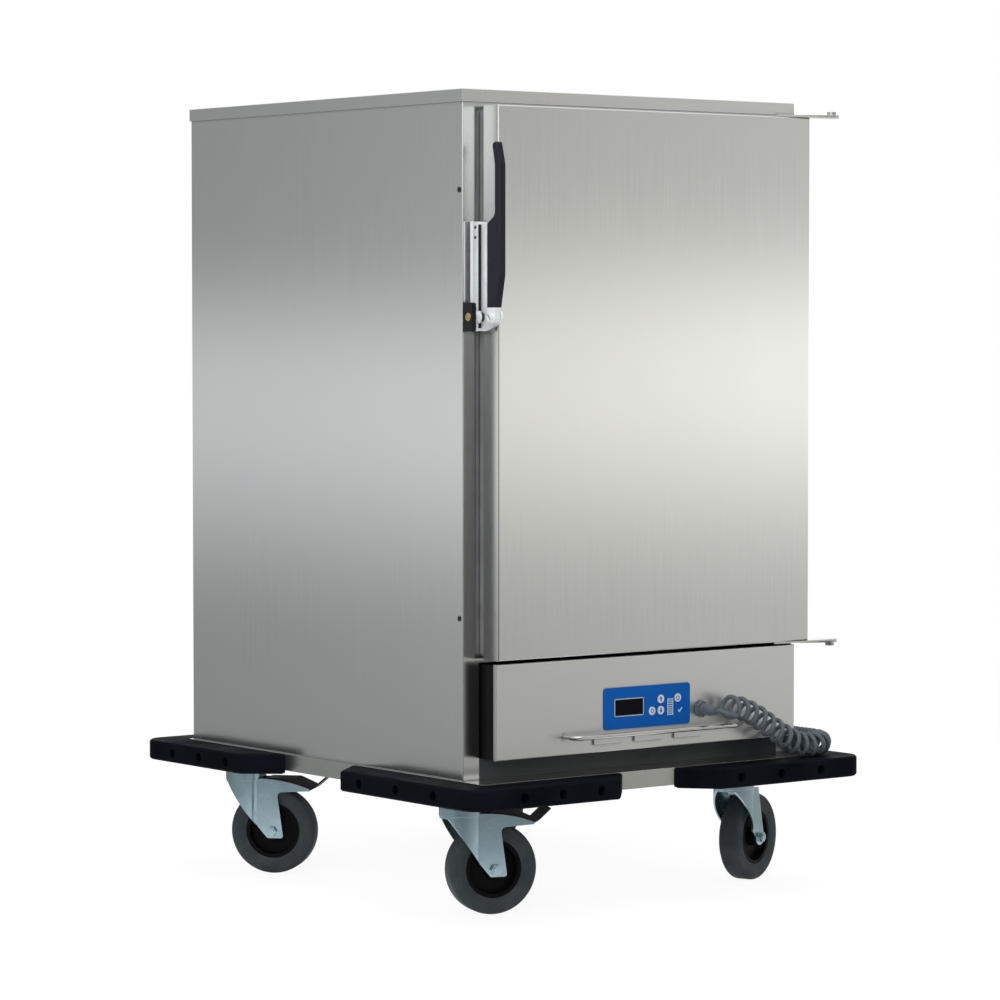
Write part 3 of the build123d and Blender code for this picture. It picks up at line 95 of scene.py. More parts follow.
def make_brushed_grain():
    """Fine parallel scratches of a sanding belt, as a roughness, a shade and a height."""
    group, entry, leave = new_group(
        "brushed grain",
        [("Vector", "NodeSocketVector"), ("Smooth", "NodeSocketFloat"), ("Rough", "NodeSocketFloat"),
         ("Color", "NodeSocketColor"), ("Dark", "NodeSocketFloat")],
        [("Roughness", "NodeSocketFloat"), ("Color", "NodeSocketColor"), ("Height", "NodeSocketFloat")],
    )
    scratches = group.nodes.new("ShaderNodeTexNoise")
    scratches.inputs["Scale"].default_value = 1.0
    scratches.inputs["Detail"].default_value = 5.0
    group.links.new(entry.outputs["Vector"], scratches.inputs["Vector"])
    spread = group.nodes.new("ShaderNodeMapRange")
    spread.inputs["From Min"].default_value = 0.3
    spread.inputs["From Max"].default_value = 0.7
    group.links.new(scratches.outputs["Fac"], spread.inputs["Value"])
    group.links.new(entry.outputs["Smooth"], spread.inputs["To Min"])
    group.links.new(entry.outputs["Rough"], spread.inputs["To Max"])
    shade = group.nodes.new("ShaderNodeMapRange")
    shade.inputs["From Min"].default_value = 0.3
    shade.inputs["From Max"].default_value = 0.7
    shade.inputs["To Max"].default_value = 1.0
    group.links.new(scratches.outputs["Fac"], shade.inputs["Value"])
    group.links.new(entry.outputs["Dark"], shade.inputs["To Min"])
    tint = group.nodes.new("ShaderNodeMix")
    tint.data_type = "RGBA"
    tint.blend_type = "MULTIPLY"
    tint.inputs["Factor"].default_value = 1.0
    group.links.new(entry.outputs["Color"], tint.inputs["A"])
    group.links.new(shade.outputs["Result"], tint.inputs["B"])
    group.links.new(spread.outputs["Result"], leave.inputs["Roughness"])
    group.links.new(tint.outputs["Result"], leave.inputs["Color"])
    group.links.new(scratches.outputs["Fac"], leave.inputs["Height"])
    return group


def make_soft_marks():
    """Broad cloudy handling marks, as a mask from 0 to 1."""
    group, entry, leave = new_group(
        "soft marks", [("Vector", "NodeSocketVector")], [("Mask", "NodeSocketFloat")])
    clouds = group.nodes.new("ShaderNodeTexNoise")
    clouds.inputs["Scale"].default_value = 1.0
    clouds.inputs["Detail"].default_value = 3.0
    clouds.inputs["Roughness"].default_value = 0.55
    group.links.new(entry.outputs["Vector"], clouds.inputs["Vector"])
    spread = group.nodes.new("ShaderNodeMapRange")
    spread.inputs["From Min"].default_value = 0.38
    spread.inputs["From Max"].default_value = 0.68
    group.links.new(clouds.outputs["Fac"], spread.inputs["Value"])
    group.links.new(spread.outputs["Result"], leave.inputs["Mask"])
    return group


brushed_grain = make_brushed_grain()
soft_marks = make_soft_marks()


def place_group(tree, group, vector):
    node = tree.nodes.new("ShaderNodeGroup")
    node.node_tree = group
    tree.links.new(vector, node.inputs["Vector"])
    return node


def add_bump(tree, shader, height, strength, distance, edge):
    """Fine relief over edges that are rounded by a radius, so that they catch the light."""
    bump = tree.nodes.new("ShaderNodeBump")
    bump.inputs["Strength"].default_value = strength
    bump.inputs["Distance"].default_value = distance
    tree.links.new(height, bump.inputs["Height"])
    rounded = tree.nodes.new("ShaderNodeBevel")
    rounded.inputs["Radius"].default_value = edge
    tree.links.new(rounded.outputs["Normal"], bump.inputs["Normal"])
    tree.links.new(bump.outputs["Normal"], shader.inputs["Normal"])


def brushed_steel(name, color, grain, smooth, rough, dark):
    """Ground stainless sheet: scratches along one axis under broad cloudy marks, painted shade in creases.
    """
    material, tree, shader = new_finish(name, color, rough, 1.0)
    belt = place_group(tree, brushed_grain, object_grain(tree, grain))
    belt.inputs["Rough"].default_value = rough
    belt.inputs["Color"].default_value = (*color, 1.0)
    belt.inputs["Dark"].default_value = dark
    marks = place_group(tree, soft_marks, object_grain(tree, (3.0, 3.0, 2.0)))
    wipe = tree.nodes.new("ShaderNodeMapRange")
    wipe.inputs["To Min"].default_value = smooth
    wipe.inputs["To Max"].default_value = smooth + 0.03
    tree.links.new(marks.outputs["Mask"], wipe.inputs["Value"])
    tree.links.new(wipe.outputs["Result"], belt.inputs["Smooth"])
    tree.links.new(belt.outputs["Roughness"], shader.inputs["Roughness"])
    # Painted shade: occlusion darkens the colour in creases, corners and seams within a few millimetres.
    painted_crease_shade = tree.nodes.new("ShaderNodeAmbientOcclusion")
    painted_crease_shade.samples = 8
    painted_crease_shade.inputs["Distance"].default_value = CREASE_SHADE_REACH
    tree.links.new(belt.outputs["Color"], painted_crease_shade.inputs["Color"])
    tree.links.new(painted_crease_shade.outputs["Color"], shader.inputs["Base Color"])
    add_bump(tree, shader, belt.outputs["Height"], 0.04, SCRATCH_DEPTH, STEEL_EDGE)
    return material


def cloudy_finish(name, color, rough, cloud, shade, pores, metallic=0.0, specular=0.5, edge=FINISH_EDGE):
    """A finish whose roughness and shade drift in clouds, with fine pores of (scale, depth)."""
    material, tree, shader = new_finish(name, color, rough[1], metallic, specular)
    marks = place_group(tree, soft_marks, object_grain(tree, (cloud, cloud, cloud)))
    spread = tree.nodes.new("ShaderNodeMapRange")
    spread.inputs["To Min"].default_value = rough[0]
    spread.inputs["To Max"].default_value = rough[1]
    tree.links.new(marks.outputs["Mask"], spread.inputs["Value"])
    tree.links.new(spread.outputs["Result"], shader.inputs["Roughness"])
    tint = tree.nodes.new("ShaderNodeMix")
    tint.data_type = "RGBA"
    tint.inputs["A"].default_value = (*color, 1.0)
    tint.inputs["B"].default_value = (*[c * shade for c in color], 1.0)
    tree.links.new(marks.outputs["Mask"], tint.inputs["Factor"])
    tree.links.new(tint.outputs["Result"], shader.inputs["Base Color"])
    grain = tree.nodes.new("ShaderNodeTexNoise")
    grain.inputs["Scale"].default_value = pores[0]
    grain.inputs["Detail"].default_value = 3.0
    tree.links.new(object_grain(tree, (1.0, 1.0, 1.0)), grain.inputs["Vector"])
    add_bump(tree, shader, grain.outputs["Fac"], 0.35, pores[1], edge)
    return material


def dress(material, *names):
    """Gives CAD nodes their finish."""
    for name in names:
        mesh = nodes[name].data
        mesh.materials.clear()
        mesh.materials.append(material)


steel_upright = brushed_steel("stainless, grain upright", STEEL, grain=GRAIN_UPRIGHT, smooth=0.16,
                              rough=0.22, dark=0.965)
steel_across = brushed_steel("stainless, grain across", STEEL, grain=GRAIN_ACROSS, smooth=0.16,
                             rough=0.22, dark=0.965)
rail_paint = cloudy_finish("dark rail paint", (0.03, 0.03, 0.034), rough=(0.35, 0.5), cloud=12.0,
                           shade=1.3, pores=(900.0, 0.0001), specular=0.3)
steel_deck = brushed_steel("stainless, deck", (0.58, 0.58, 0.555), grain=GRAIN_ACROSS, smooth=0.16,
                           rough=0.22, dark=0.965)
dress(steel_deck, "chassis_frame")
dress(rail_paint, "castor_rails")


# Castors.
# Pressed forks and top plates in bluish zinc plate, the plates held by four bolts each. The wheels
# have black moulded centres and grey rubber tyres, and the two on the left have a foot brake.
CORNERS = ("front_left", "front_right", "rear_left", "rear_right")
PLATE_BOLT_R = 6.5 * MM
PLATE_BOLT_H = 3.5 * MM
PLATE_BOLT_INSET = 12.0 * MM
zinc_plate = cloudy_finish("bluish zinc plate", (0.38, 0.51, 0.57), rough=(0.18, 0.3), cloud=30.0,
                           shade=0.86, pores=(1200.0, 0.00002), metallic=0.9)
wheel_black = cloudy_finish("black wheel centre", (0.003, 0.003, 0.0035), rough=(0.42, 0.6), cloud=40.0,
                            shade=1.6, pores=(1500.0, 0.0001), specular=0.05)
tyre_grey = cloudy_finish("grey tyre rubber", (0.046, 0.056, 0.063), rough=(0.55, 0.75), cloud=22.0,
                          shade=0.72, pores=(1400.0, 0.00015), specular=0.2)
pedal_black = cloudy_finish("black brake pedal", (0.010, 0.010, 0.012), rough=(0.4, 0.55), cloud=40.0,
                            shade=1.5, pores=(1500.0, 0.0001), specular=0.25)
bolt_steel = cloudy_finish("bolt steel", (0.55, 0.55, 0.56), rough=(0.3, 0.45), cloud=60.0, shade=0.8,
                           pores=(1500.0, 0.00005), metallic=1.0)
dress(zinc_plate, "castor_plates")
for corner in CORNERS:
    dress(zinc_plate, "fork_" + corner)
    dress(wheel_black, "wheel_" + corner)
    dress(tyre_grey, "tyre_" + corner)
for corner in ("front_left", "rear_left"):
    dress(pedal_black, "brake_" + corner)


def add_screw(bm, seat, facing, radius, height):
    """A round head with a sloped rim and a sunk drive, standing on its seat."""
    facing = Vector(facing)
    middle = Vector(seat) + facing * (height / 2)
    stand = Matrix.Translation(middle) @ facing.to_track_quat("Z", "Y").to_matrix().to_4x4()
    head = bmesh.ops.create_cone(bm, cap_ends=True, segments=20, radius1=radius, radius2=radius,
                                 depth=height, matrix=stand)
    faces = {face for vert in head["verts"] for face in vert.link_faces}
    bm.normal_update()
    top = max(faces, key=lambda face: face.calc_center_median().dot(facing))
    bmesh.ops.inset_region(bm, faces=[top], thickness=radius * 0.3, depth=height * 0.25)
    bmesh.ops.inset_region(bm, faces=[top], thickness=radius * 0.18, depth=-height * 0.6)


def keep_piece(name, bm, material, body):
    """Turns a bmesh into a piece that rides on a body."""
    bmesh.ops.recalc_face_normals(bm, faces=bm.faces[:])
    mesh = bpy.data.meshes.new(name)
    bm.to_mesh(mesh)
    bm.free()
    mesh.materials.append(material)
    piece = bpy.data.objects.new(name, mesh)
    scene.collection.objects.link(piece)
    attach(piece, body)
    return piece


plates_low, plates_high = [Vector(corner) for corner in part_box("castor_plates")]
PLATE_W = 110.0 * MM
PLATE_D = 108.0 * MM
PLATE_UNDER = 196.0 * MM
bolts_bm = bmesh.new()
for edge_x in (plates_low.x, plates_high.x - PLATE_W):
    for edge_y in (plates_low.y, plates_high.y - PLATE_D):
        for x in (edge_x + PLATE_BOLT_INSET, edge_x + PLATE_W - PLATE_BOLT_INSET):
            for y in (edge_y + PLATE_BOLT_INSET, edge_y + PLATE_D - PLATE_BOLT_INSET):
                add_screw(bolts_bm, (x, y, PLATE_UNDER), (0, 0, -1), PLATE_BOLT_R, PLATE_BOLT_H)
keep_piece("castor_bolts", bolts_bm, bolt_steel, "cabinet")


# Bumpers.
# Four solid black rubber buffers, L-shaped, held to the skirt of the chassis by screws in deep
# recesses.
bumper_rubber = cloudy_finish("black bumper rubber", (0.0024, 0.003, 0.005), rough=(0.45, 0.7), cloud=9.0,
                              shade=2.2, pores=(700.0, 0.0003), specular=0.02)
for corner in CORNERS:
    dress(bumper_rubber, "bumper_" + corner)
dress(bolt_steel, "bumper_screws")


# Cabinet shell.
# Ground stainless sheet: folded sides, a back that is riveted on along its edges, two front cross
# members and a shallow cover. Two small plugs close the spare hinge holes on the left.
SPARE_HOLES_Z = (1254.0 * MM, 524.0 * MM)
SPARE_HOLE_BACK = 9.0 * MM
SPARE_PLUG_R = 4.5 * MM
SPARE_PLUG_H = 1.0 * MM
RIVET_R = 4.0 * MM
RIVET_H = 1.6 * MM
RIVET_INSET = 12.0 * MM
RIVET_UNDER_COVER = 22.0 * MM
RIVET_ROWS = 6
RIVET_COLUMNS = 4
plug_black = cloudy_finish("black hole plug", (0.012, 0.012, 0.013), rough=(0.45, 0.6), cloud=60.0,
                           shade=1.4, pores=(1600.0, 0.00005), specular=0.3)
rivet_steel = cloudy_finish("rivet steel", (0.62, 0.62, 0.61), rough=(0.25, 0.36), cloud=60.0, shade=0.85,
                            pores=(1500.0, 0.00004), metallic=1.0)
dress(steel_upright, "side_left", "side_right", "back_panel", "front_rails")
dress(steel_across, "top_cover")
side_low = Vector(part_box("side_left")[0])
spare_bm = bmesh.new()
for z in SPARE_HOLES_Z:
    seat = (side_low.x, side_low.y + SPARE_HOLE_BACK, z)
    add_screw(spare_bm, seat, (-1, 0, 0), SPARE_PLUG_R, SPARE_PLUG_H)
keep_piece("spare_hole_plugs", spare_bm, plug_black, "cabinet")
back_low, back_high = [Vector(corner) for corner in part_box("back_panel")]


def spread_evenly(first, last, count):
    return [first + (last - first) * i / (count - 1) for i in range(count)]


rivets_bm = bmesh.new()
rivet_xs = spread_evenly(back_low.x + RIVET_INSET, back_high.x - RIVET_INSET, RIVET_COLUMNS)
rivet_top = back_high.z - RIVET_INSET - RIVET_UNDER_COVER
rivet_zs = spread_evenly(back_low.z + RIVET_INSET, rivet_top, RIVET_ROWS)
for x in rivet_xs:
    for z in rivet_zs:
        if x in (rivet_xs[0], rivet_xs[-1]) or z in (rivet_zs[0], rivet_zs[-1]):
            add_screw(rivets_bm, (x, back_high.y, z), (0, 1, 0), RIVET_R, RIVET_H)
keep_piece("back_rivets", rivets_bm, rivet_steel, "cabinet")


# Chamber.
# A duller stainless liner inside pale rigid foam, with a runner rack on each wall.
steel_inner = brushed_steel("stainless, chamber", (0.56, 0.56, 0.55), grain=GRAIN_UPRIGHT, smooth=0.28,
                            rough=0.38, dark=0.93)
foam = cloudy_finish("pale rigid foam", (0.78, 0.70, 0.48), rough=(0.8, 0.95), cloud=60.0, shade=0.85,
                     pores=(600.0, 0.0006))
dress(steel_inner, "inner_liner", "body_floor", "rack_left", "rack_right")
dress(foam, "insulation", "door_insulation")


# Heating module.
# A dark plinth and a near-black housing under the chamber hold a tubular heater, a fan and its motor.
# The housing's black is partly painted shade for the gap beside the panel. The stainless front panel has
# bridge louvres along its foot.
module_paint = cloudy_finish("dark module paint", (0.025, 0.028, 0.031), rough=(0.28, 0.42), cloud=10.0,
                             shade=1.4, pores=(900.0, 0.0001), specular=0.4)
heater_sheath = cloudy_finish("heater sheath", (0.36, 0.32, 0.30), rough=(0.35, 0.5), cloud=40.0,
                              shade=0.7, pores=(900.0, 0.0001), metallic=1.0)
fan_metal = cloudy_finish("fan aluminium", (0.72, 0.72, 0.73), rough=(0.28, 0.4), cloud=30.0, shade=0.9,
                          pores=(900.0, 0.0001), metallic=1.0)
box_plastic = cloudy_finish("controller box plastic", (0.03, 0.03, 0.03), rough=(0.5, 0.6), cloud=30.0,
                            shade=1.3, pores=(900.0, 0.0001))
# Partly painted shade: this near-black, brownish colour also stands for the shade in the gap beside the
# panel.
housing_paint_and_shade = cloudy_finish("black housing with painted shade", (0.009, 0.007, 0.008), rough=(0.3, 0.45), cloud=10.0,
                              shade=1.4, pores=(900.0, 0.0001), specular=0.15)
dress(module_paint, "plinth", "fan_motor")
dress(housing_paint_and_shade, "module_housing")
dress(heater_sheath, "heater_element")
dress(fan_metal, "fan_wheel")
dress(box_plastic, "controller_box")
steel_panel = brushed_steel("stainless, panel", STEEL, grain=GRAIN_ACROSS, smooth=0.27, rough=0.34,
                            dark=0.965)
dress(steel_panel, "control_panel")


# Controls.
# A printed blue film with a silver border round its dark window, and four pale round keys. The marks
# are plain arrows, a ring, a power sign, a level scale and a tick.
MARK_T = 0.12 * MM
film_blue = cloudy_finish("blue control film", (0.002, 0.100, 0.42), rough=(0.4, 0.5), cloud=30.0,
                          shade=0.92, pores=(2500.0, 0.00003), specular=0.06)
window_black = cloudy_finish("black display window", (0.003, 0.003, 0.004), rough=(0.1, 0.16), cloud=30.0,
                             shade=1.5, pores=(500.0, 0.00001), specular=0.06)
key_pale = cloudy_finish("pale key", (0.62, 0.68, 0.74), rough=(0.35, 0.45), cloud=60.0, shade=0.94,
                         pores=(2500.0, 0.00002), specular=0.2)
print_white = cloudy_finish("white print", (0.70, 0.74, 0.79), rough=(0.45, 0.55), cloud=80.0, shade=0.95,
                            pores=(2500.0, 0.00001), specular=0.2)
print_blue = cloudy_finish("dark blue print", (0.02, 0.05, 0.16), rough=(0.45, 0.55), cloud=80.0,
                           shade=1.2, pores=(2500.0, 0.00001), specular=0.2)
border_silver = cloudy_finish("silver print", (0.55, 0.58, 0.62), rough=(0.3, 0.4), cloud=60.0, shade=0.9,
                              pores=(2500.0, 0.00002), metallic=0.6)
dress(film_blue, "control_film")
dress(window_black, "display_window")
dress(key_pale, "key_up", "key_set", "key_down", "key_power")
film_low, film_high = [Vector(corner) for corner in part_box("control_film")]
window_low, window_high = [Vector(corner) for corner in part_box("display_window")]


def raise_print(bm, faces):
    """Gives flat printed faces the thickness of the ink, towards the front."""
    lifted = bmesh.ops.extrude_face_region(bm, geom=faces)
    front = [item for item in lifted["geom"] if isinstance(item, bmesh.types.BMVert)]
    bmesh.ops.translate(bm, vec=(0, -MARK_T, 0), verts=front)


def add_print(bm, centre, outline):
    """A printed shape from its corners in millimetres about a centre."""
    corners = [bm.verts.new(centre + Vector((x, 0, z)) * MM) for x, z in outline]
    raise_print(bm, [bm.faces.new(corners)])


def add_print_bar(bm, centre, x, z, width, height):
    half_w = width / 2
    half_h = height / 2
    add_print(bm, centre, [(x - half_w, z - half_h), (x + half_w, z - half_h),
                           (x + half_w, z + half_h), (x - half_w, z + half_h)])


def add_print_ring(bm, centre, inner, outer, gap):
    """A ring about a centre, open at its top by an angle in degrees."""
    lean = radians(gap / 2)
    ends = [centre + Vector((sin(lean), 0, cos(lean))) * (r * MM) for r in (inner, outer)]
    start = bm.edges.new([bm.verts.new(end) for end in ends])
    before = set(bm.faces)
    bmesh.ops.spin(bm, geom=[start, *start.verts], cent=centre, axis=(0, 1, 0), angle=radians(360 - gap),
                   steps=24, use_merge=gap == 0)
    raise_print(bm, [face for face in bm.faces if face not in before])


def key_face(name):
    """The middle of a key's front face."""
    low, high = [Vector(corner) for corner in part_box(name)]
    return Vector(((low.x + high.x) / 2, low.y, (low.z + high.z) / 2))


ARROW = [(-3.4, 0.4), (0.0, 4.6), (3.4, 0.4), (1.3, 0.4), (1.3, -4.2), (-1.3, -4.2), (-1.3, 0.4)]
arrow_bm = bmesh.new()
add_print(arrow_bm, key_face("key_up"), ARROW)
keep_piece("mark_up", arrow_bm, print_blue, "key_up_body")
arrow_bm = bmesh.new()
add_print(arrow_bm, key_face("key_down"), [(x, -z) for x, z in reversed(ARROW)])
keep_piece("mark_down", arrow_bm, print_blue, "key_down_body")
ring_bm = bmesh.new()
add_print_ring(ring_bm, key_face("key_set"), 2.2, 3.6, 0)
keep_piece("mark_set", ring_bm, print_blue, "key_set_body")
power_bm = bmesh.new()
add_print_ring(power_bm, key_face("key_power"), 2.9, 4.2, 70)
add_print_bar(power_bm, key_face("key_power"), 0.0, 2.9, 1.3, 4.2)
keep_piece("mark_power", power_bm, print_blue, "key_power_body")

SCALE_RUNGS = 8
SCALE_W = 13.0
SCALE_H = 30.0
SCALE_IN = 151.5 * MM
SCALE_DOWN = 40.5 * MM
scale_middle = Vector((film_low.x + SCALE_IN, film_low.y, film_high.z - SCALE_DOWN))
TICK = [(-5.0, 0.4), (-3.4, 1.8), (-1.5, -1.0), (4.0, 5.4), (5.4, 4.2), (-1.6, -4.0)]
TICK_IN = 174.0 * MM
TICK_DOWN = 48.0 * MM
tick_middle = Vector((film_low.x + TICK_IN, film_low.y, film_high.z - TICK_DOWN))
scale_bm = bmesh.new()
for side in (-1, 1):
    add_print_bar(scale_bm, scale_middle, side * (SCALE_W / 2 - 0.6), 0.0, 1.2, SCALE_H)
for z in spread_evenly(-SCALE_H / 2 + 1.5, SCALE_H / 2 - 1.5, SCALE_RUNGS):
    add_print_bar(scale_bm, scale_middle, 0.0, z, SCALE_W - 2.6, 1.5)
add_print(scale_bm, tick_middle, TICK)
keep_piece("film_marks", scale_bm, print_white, "cabinet")

BORDER_W = 1.8 * MM
BORDER_R = 3.0 * MM
border_bm = bmesh.new()
border_x0 = window_low.x - BORDER_W
border_x1 = window_high.x + BORDER_W
border_z0 = window_low.z - BORDER_W
border_z1 = window_high.z + BORDER_W
border_corners = [(border_x0, border_z0), (border_x1, border_z0),
                  (border_x1, border_z1), (border_x0, border_z1)]
border_bm.faces.new([border_bm.verts.new((x, film_low.y, z)) for x, z in border_corners])
bmesh.ops.bevel(border_bm, geom=border_bm.verts[:], offset=BORDER_R, segments=5, profile=0.5,
                affect="VERTICES", material=-1)
inner_face = border_bm.faces[:]
border_bm.normal_update()
bmesh.ops.inset_region(border_bm, faces=inner_face, thickness=BORDER_W, use_boundary=True)
bmesh.ops.delete(border_bm, geom=inner_face, context="FACES")
raise_print(border_bm, border_bm.faces[:])
keep_piece("window_border", border_bm, border_silver, "cabinet")


# Pull rail.
# One length of polished round rod, bent twice and welded to the panel.
rod_polished = cloudy_finish("polished rod", (0.52, 0.515, 0.50), rough=(0.14, 0.22), cloud=20.0,
                             shade=0.92, pores=(800.0, 0.00001), metallic=1.0)
dress(rod_polished, "pull_rail", "hinge_pins")


# Curly mains cord.
# A grey-blue rubber lead wound in one helix. It leaves the panel through a gland, drops to the front
# right bumper, goes round the corner of the cabinet and ends in a plug that lies on the bumper.
CORD_D = 8.3 * MM
COIL_R = 17.35 * MM
POINTS_PER_TURN = 14
TURNS_FRONT = 10
TURNS_CORNER = 4.5
TURNS_SIDE = 8.5
SIDE_PITCH = 10.5 * MM
CORNER_R = 48.0 * MM
COIL_START = Vector((150.0, -474.0, 348.0)) * MM
COIL_LOW = 267.8 * MM
WALL_X = 399.5 * MM
TURN_X = WALL_X - CORNER_R
TURNS = TURNS_FRONT + TURNS_CORNER + TURNS_SIDE


def coil_axis(turn):
    """The line that the curls wind round: down to the bumper, round the corner, along the wall."""
    if turn <= TURNS_FRONT:
        share = turn / TURNS_FRONT
        x = COIL_START.x + share * (TURN_X - COIL_START.x)
        z = COIL_LOW + (COIL_START.z - COIL_LOW) * (1 + cos(pi * share)) / 2
        return Vector((x, COIL_START.y, z))
    if turn <= TURNS_FRONT + TURNS_CORNER:
        angle = pi / 2 * (turn - TURNS_FRONT) / TURNS_CORNER
        x = TURN_X + CORNER_R * sin(angle)
        return Vector((x, COIL_START.y + CORNER_R * (1 - cos(angle)), COIL_LOW))
    along = (turn - TURNS_FRONT - TURNS_CORNER) * SIDE_PITCH
    return Vector((WALL_X, COIL_START.y + CORNER_R + along, COIL_LOW))


def curl_point(turn):
    """A control point of the helix, a little outside it because the spline cuts inside its points."""
    along = (coil_axis(min(turn + 0.01, TURNS)) - coil_axis(max(turn - 0.01, 0))).normalized()
    outward = along.cross(Vector((0, 0, 1))).normalized()
    upward = outward.cross(along)
    phase = pi / 2 + 2 * pi * turn
    reach = COIL_R / (0.75 + 0.25 * cos(2 * pi / POINTS_PER_TURN))
    return coil_axis(turn) + outward * (reach * cos(phase)) - upward * (reach * sin(phase))


cord_exit = Vector((117.0, -485.0, 344.0)) * MM
lead_points = [
    cord_exit,
    Vector((117.0, -496.0, 344.0)) * MM,
    Vector((117.0, -511.0, 341.5)) * MM,
    Vector((149.0, -511.0, 333.0)) * MM,
]
helix_points = [curl_point(i / POINTS_PER_TURN) for i in range(round(TURNS * POINTS_PER_TURN) + 1)]
cord_plug_low, cord_plug_high = [Vector(corner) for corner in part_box("plug")]
plug_entry = Vector((WALL_X, cord_plug_low.y, 263.8 * MM))
coil_end = curl_point(TURNS)
tail_points = [
    Vector((383.0 * MM, coil_end.y, 250.8 * MM)),
    Vector((383.0 * MM, coil_end.y + 36.0 * MM, 250.8 * MM)),
    Vector((WALL_X, plug_entry.y - 36.0 * MM, plug_entry.z)),
    Vector((WALL_X, plug_entry.y - 10.0 * MM, plug_entry.z)),
    plug_entry,
]
cord_curve = bpy.data.curves.new("cord", "CURVE")
cord_curve.dimensions = "3D"
cord_curve.bevel_depth = CORD_D / 2
cord_curve.bevel_resolution = 4
cord_curve.resolution_u = 3
route = lead_points + helix_points + tail_points
spline = cord_curve.splines.new("NURBS")
spline.points.add(len(route) - 1)
for control, place in zip(spline.points, route):
    control.co = (*place, 1.0)
spline.order_u = 3
spline.use_endpoint_u = True
cord = bpy.data.objects.new("cord", cord_curve)
scene.collection.objects.link(cord)
cord_jacket = cloudy_finish("grey-blue cord rubber", (0.098, 0.120, 0.140), rough=(0.42, 0.55),
                            cloud=60.0, shade=0.8, pores=(1800.0, 0.00008), specular=0.35)
gland_plastic = cloudy_finish("dark grey gland", (0.095, 0.115, 0.135), rough=(0.4, 0.5), cloud=60.0,
                              shade=0.9, pores=(1800.0, 0.00005), specular=0.35)
PLUG_PIN_L = 19.0 * MM


def split_finish(name, axis, limit, below, above, specular=0.5):
    """Two (colour, metallic) finishes that meet at a plane across an axis."""
    material, tree, shader = new_finish(name, below[0], 0.45, specular=specular)
    place = tree.nodes.new("ShaderNodeSeparateXYZ")
    tree.links.new(object_grain(tree, (1.0, 1.0, 1.0)), place.inputs["Vector"])
    past = tree.nodes.new("ShaderNodeMath")
    past.operation = "GREATER_THAN"
    past.inputs[1].default_value = limit
    tree.links.new(place.outputs[axis], past.inputs[0])
    tint = tree.nodes.new("ShaderNodeMix")
    tint.data_type = "RGBA"
    tint.inputs["A"].default_value = (*below[0], 1.0)
    tint.inputs["B"].default_value = (*above[0], 1.0)
    tree.links.new(past.outputs["Value"], tint.inputs["Factor"])
    tree.links.new(tint.outputs["Result"], shader.inputs["Base Color"])
    metal = tree.nodes.new("ShaderNodeMapRange")
    metal.inputs["To Min"].default_value = below[1]
    metal.inputs["To Max"].default_value = above[1]
    tree.links.new(past.outputs["Value"], metal.inputs["Value"])
    tree.links.new(metal.outputs["Result"], shader.inputs["Metallic"])
    marks = place_group(tree, soft_marks, object_grain(tree, (50.0, 50.0, 50.0)))
    rough = tree.nodes.new("ShaderNodeMapRange")
    rough.inputs["To Min"].default_value = 0.34
    rough.inputs["To Max"].default_value = 0.48
    tree.links.new(marks.outputs["Mask"], rough.inputs["Value"])
    tree.links.new(rough.outputs["Result"], shader.inputs["Roughness"])
    return material


plug_plastic = split_finish("grey plug with metal pins", "Y", cord_plug_high.y - PLUG_PIN_L,
                            ((0.05, 0.055, 0.062), 0.0), ((0.75, 0.72, 0.66), 1.0))
cord_curve.materials.append(cord_jacket)
dress(gland_plastic, "cord_gland")
dress(plug_plastic, "plug")
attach(cord, "cabinet")
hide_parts("cord_curl")


# Door.
# Two stainless pans round rigid foam, with a grey seal on the inner face. Flat arms on its top and
# bottom edges reach out to the pivots.
seal_grey = cloudy_finish("grey silicone seal", (0.13, 0.14, 0.15), rough=(0.5, 0.65), cloud=20.0,
                          shade=1.3, pores=(900.0, 0.0001), specular=0.3)
dress(steel_upright, "door_skin")
dress(steel_inner, "door_liner")
dress(seal_grey, "door_gasket")
dress(steel_across, "hinge_arms", "hinge_brackets")


# Latch.
# A pale zinc case screwed to the door's free edge, with thin black strips in its corner that are painted
# shade for the gap there, and a black moulded lever on a slotted pivot. A brass bolt enters a black block
# on the post.
LATCH_TOP = 1200.0 * MM
LATCH_BOTTOM = 1014.0 * MM
STRIP_FACE_Y = -403.0 * MM
STRIP_SCREW_X = -357.0 * MM
STRIP_SCREWS_DOWN = (10.0, 27.0, 148.0, 178.0)
STRIP_SCREW_R = 2.6 * MM
STRIP_SCREW_H = 1.0 * MM
CHEEK_FACE_X = -344.0 * MM
CHEEK_PIN_DOWN = 104.0 * MM
CHEEK_PIN_Y = -416.0 * MM
CHEEK_PIN_R = 2.2 * MM
CHEEK_PIN_H = 1.4 * MM
SHADE_STRIP_W = 5.6 * MM
SHADE_STRIP_T = 0.8 * MM
SHADE_STRIP_END = 5.0 * MM
SHADE_STRIP_CLEAR = 10.5 * MM
SHADE_STRIP_SOFT = 0.2 * MM
PIVOT = Vector((-361.4, -447.5, 1038.0)) * MM
PIVOT_SLOT_L = 12.0 * MM
PIVOT_SLOT_W = 2.0 * MM
PIVOT_SLOT_T = 0.3 * MM
PIVOT_SLOT_SOFT = 0.05 * MM
PIVOT_SLOT_TURN = radians(-38.0)
ZINC = (0.90, 0.93, 0.95)
ZINC_METAL = 0.4
LEVER_ARM_UP = 16.0 * MM
latch_zinc = cloudy_finish("cast zinc", ZINC, rough=(0.3, 0.42), cloud=30.0, shade=0.95,
                           pores=(1200.0, 0.00003), metallic=ZINC_METAL, edge=STEEL_EDGE)
lever_black = split_finish("black lever on a zinc arm", "Z", PIVOT.z + LEVER_ARM_UP, (ZINC, ZINC_METAL),
                           ((0.016, 0.018, 0.026), 0.0), specular=0.12)
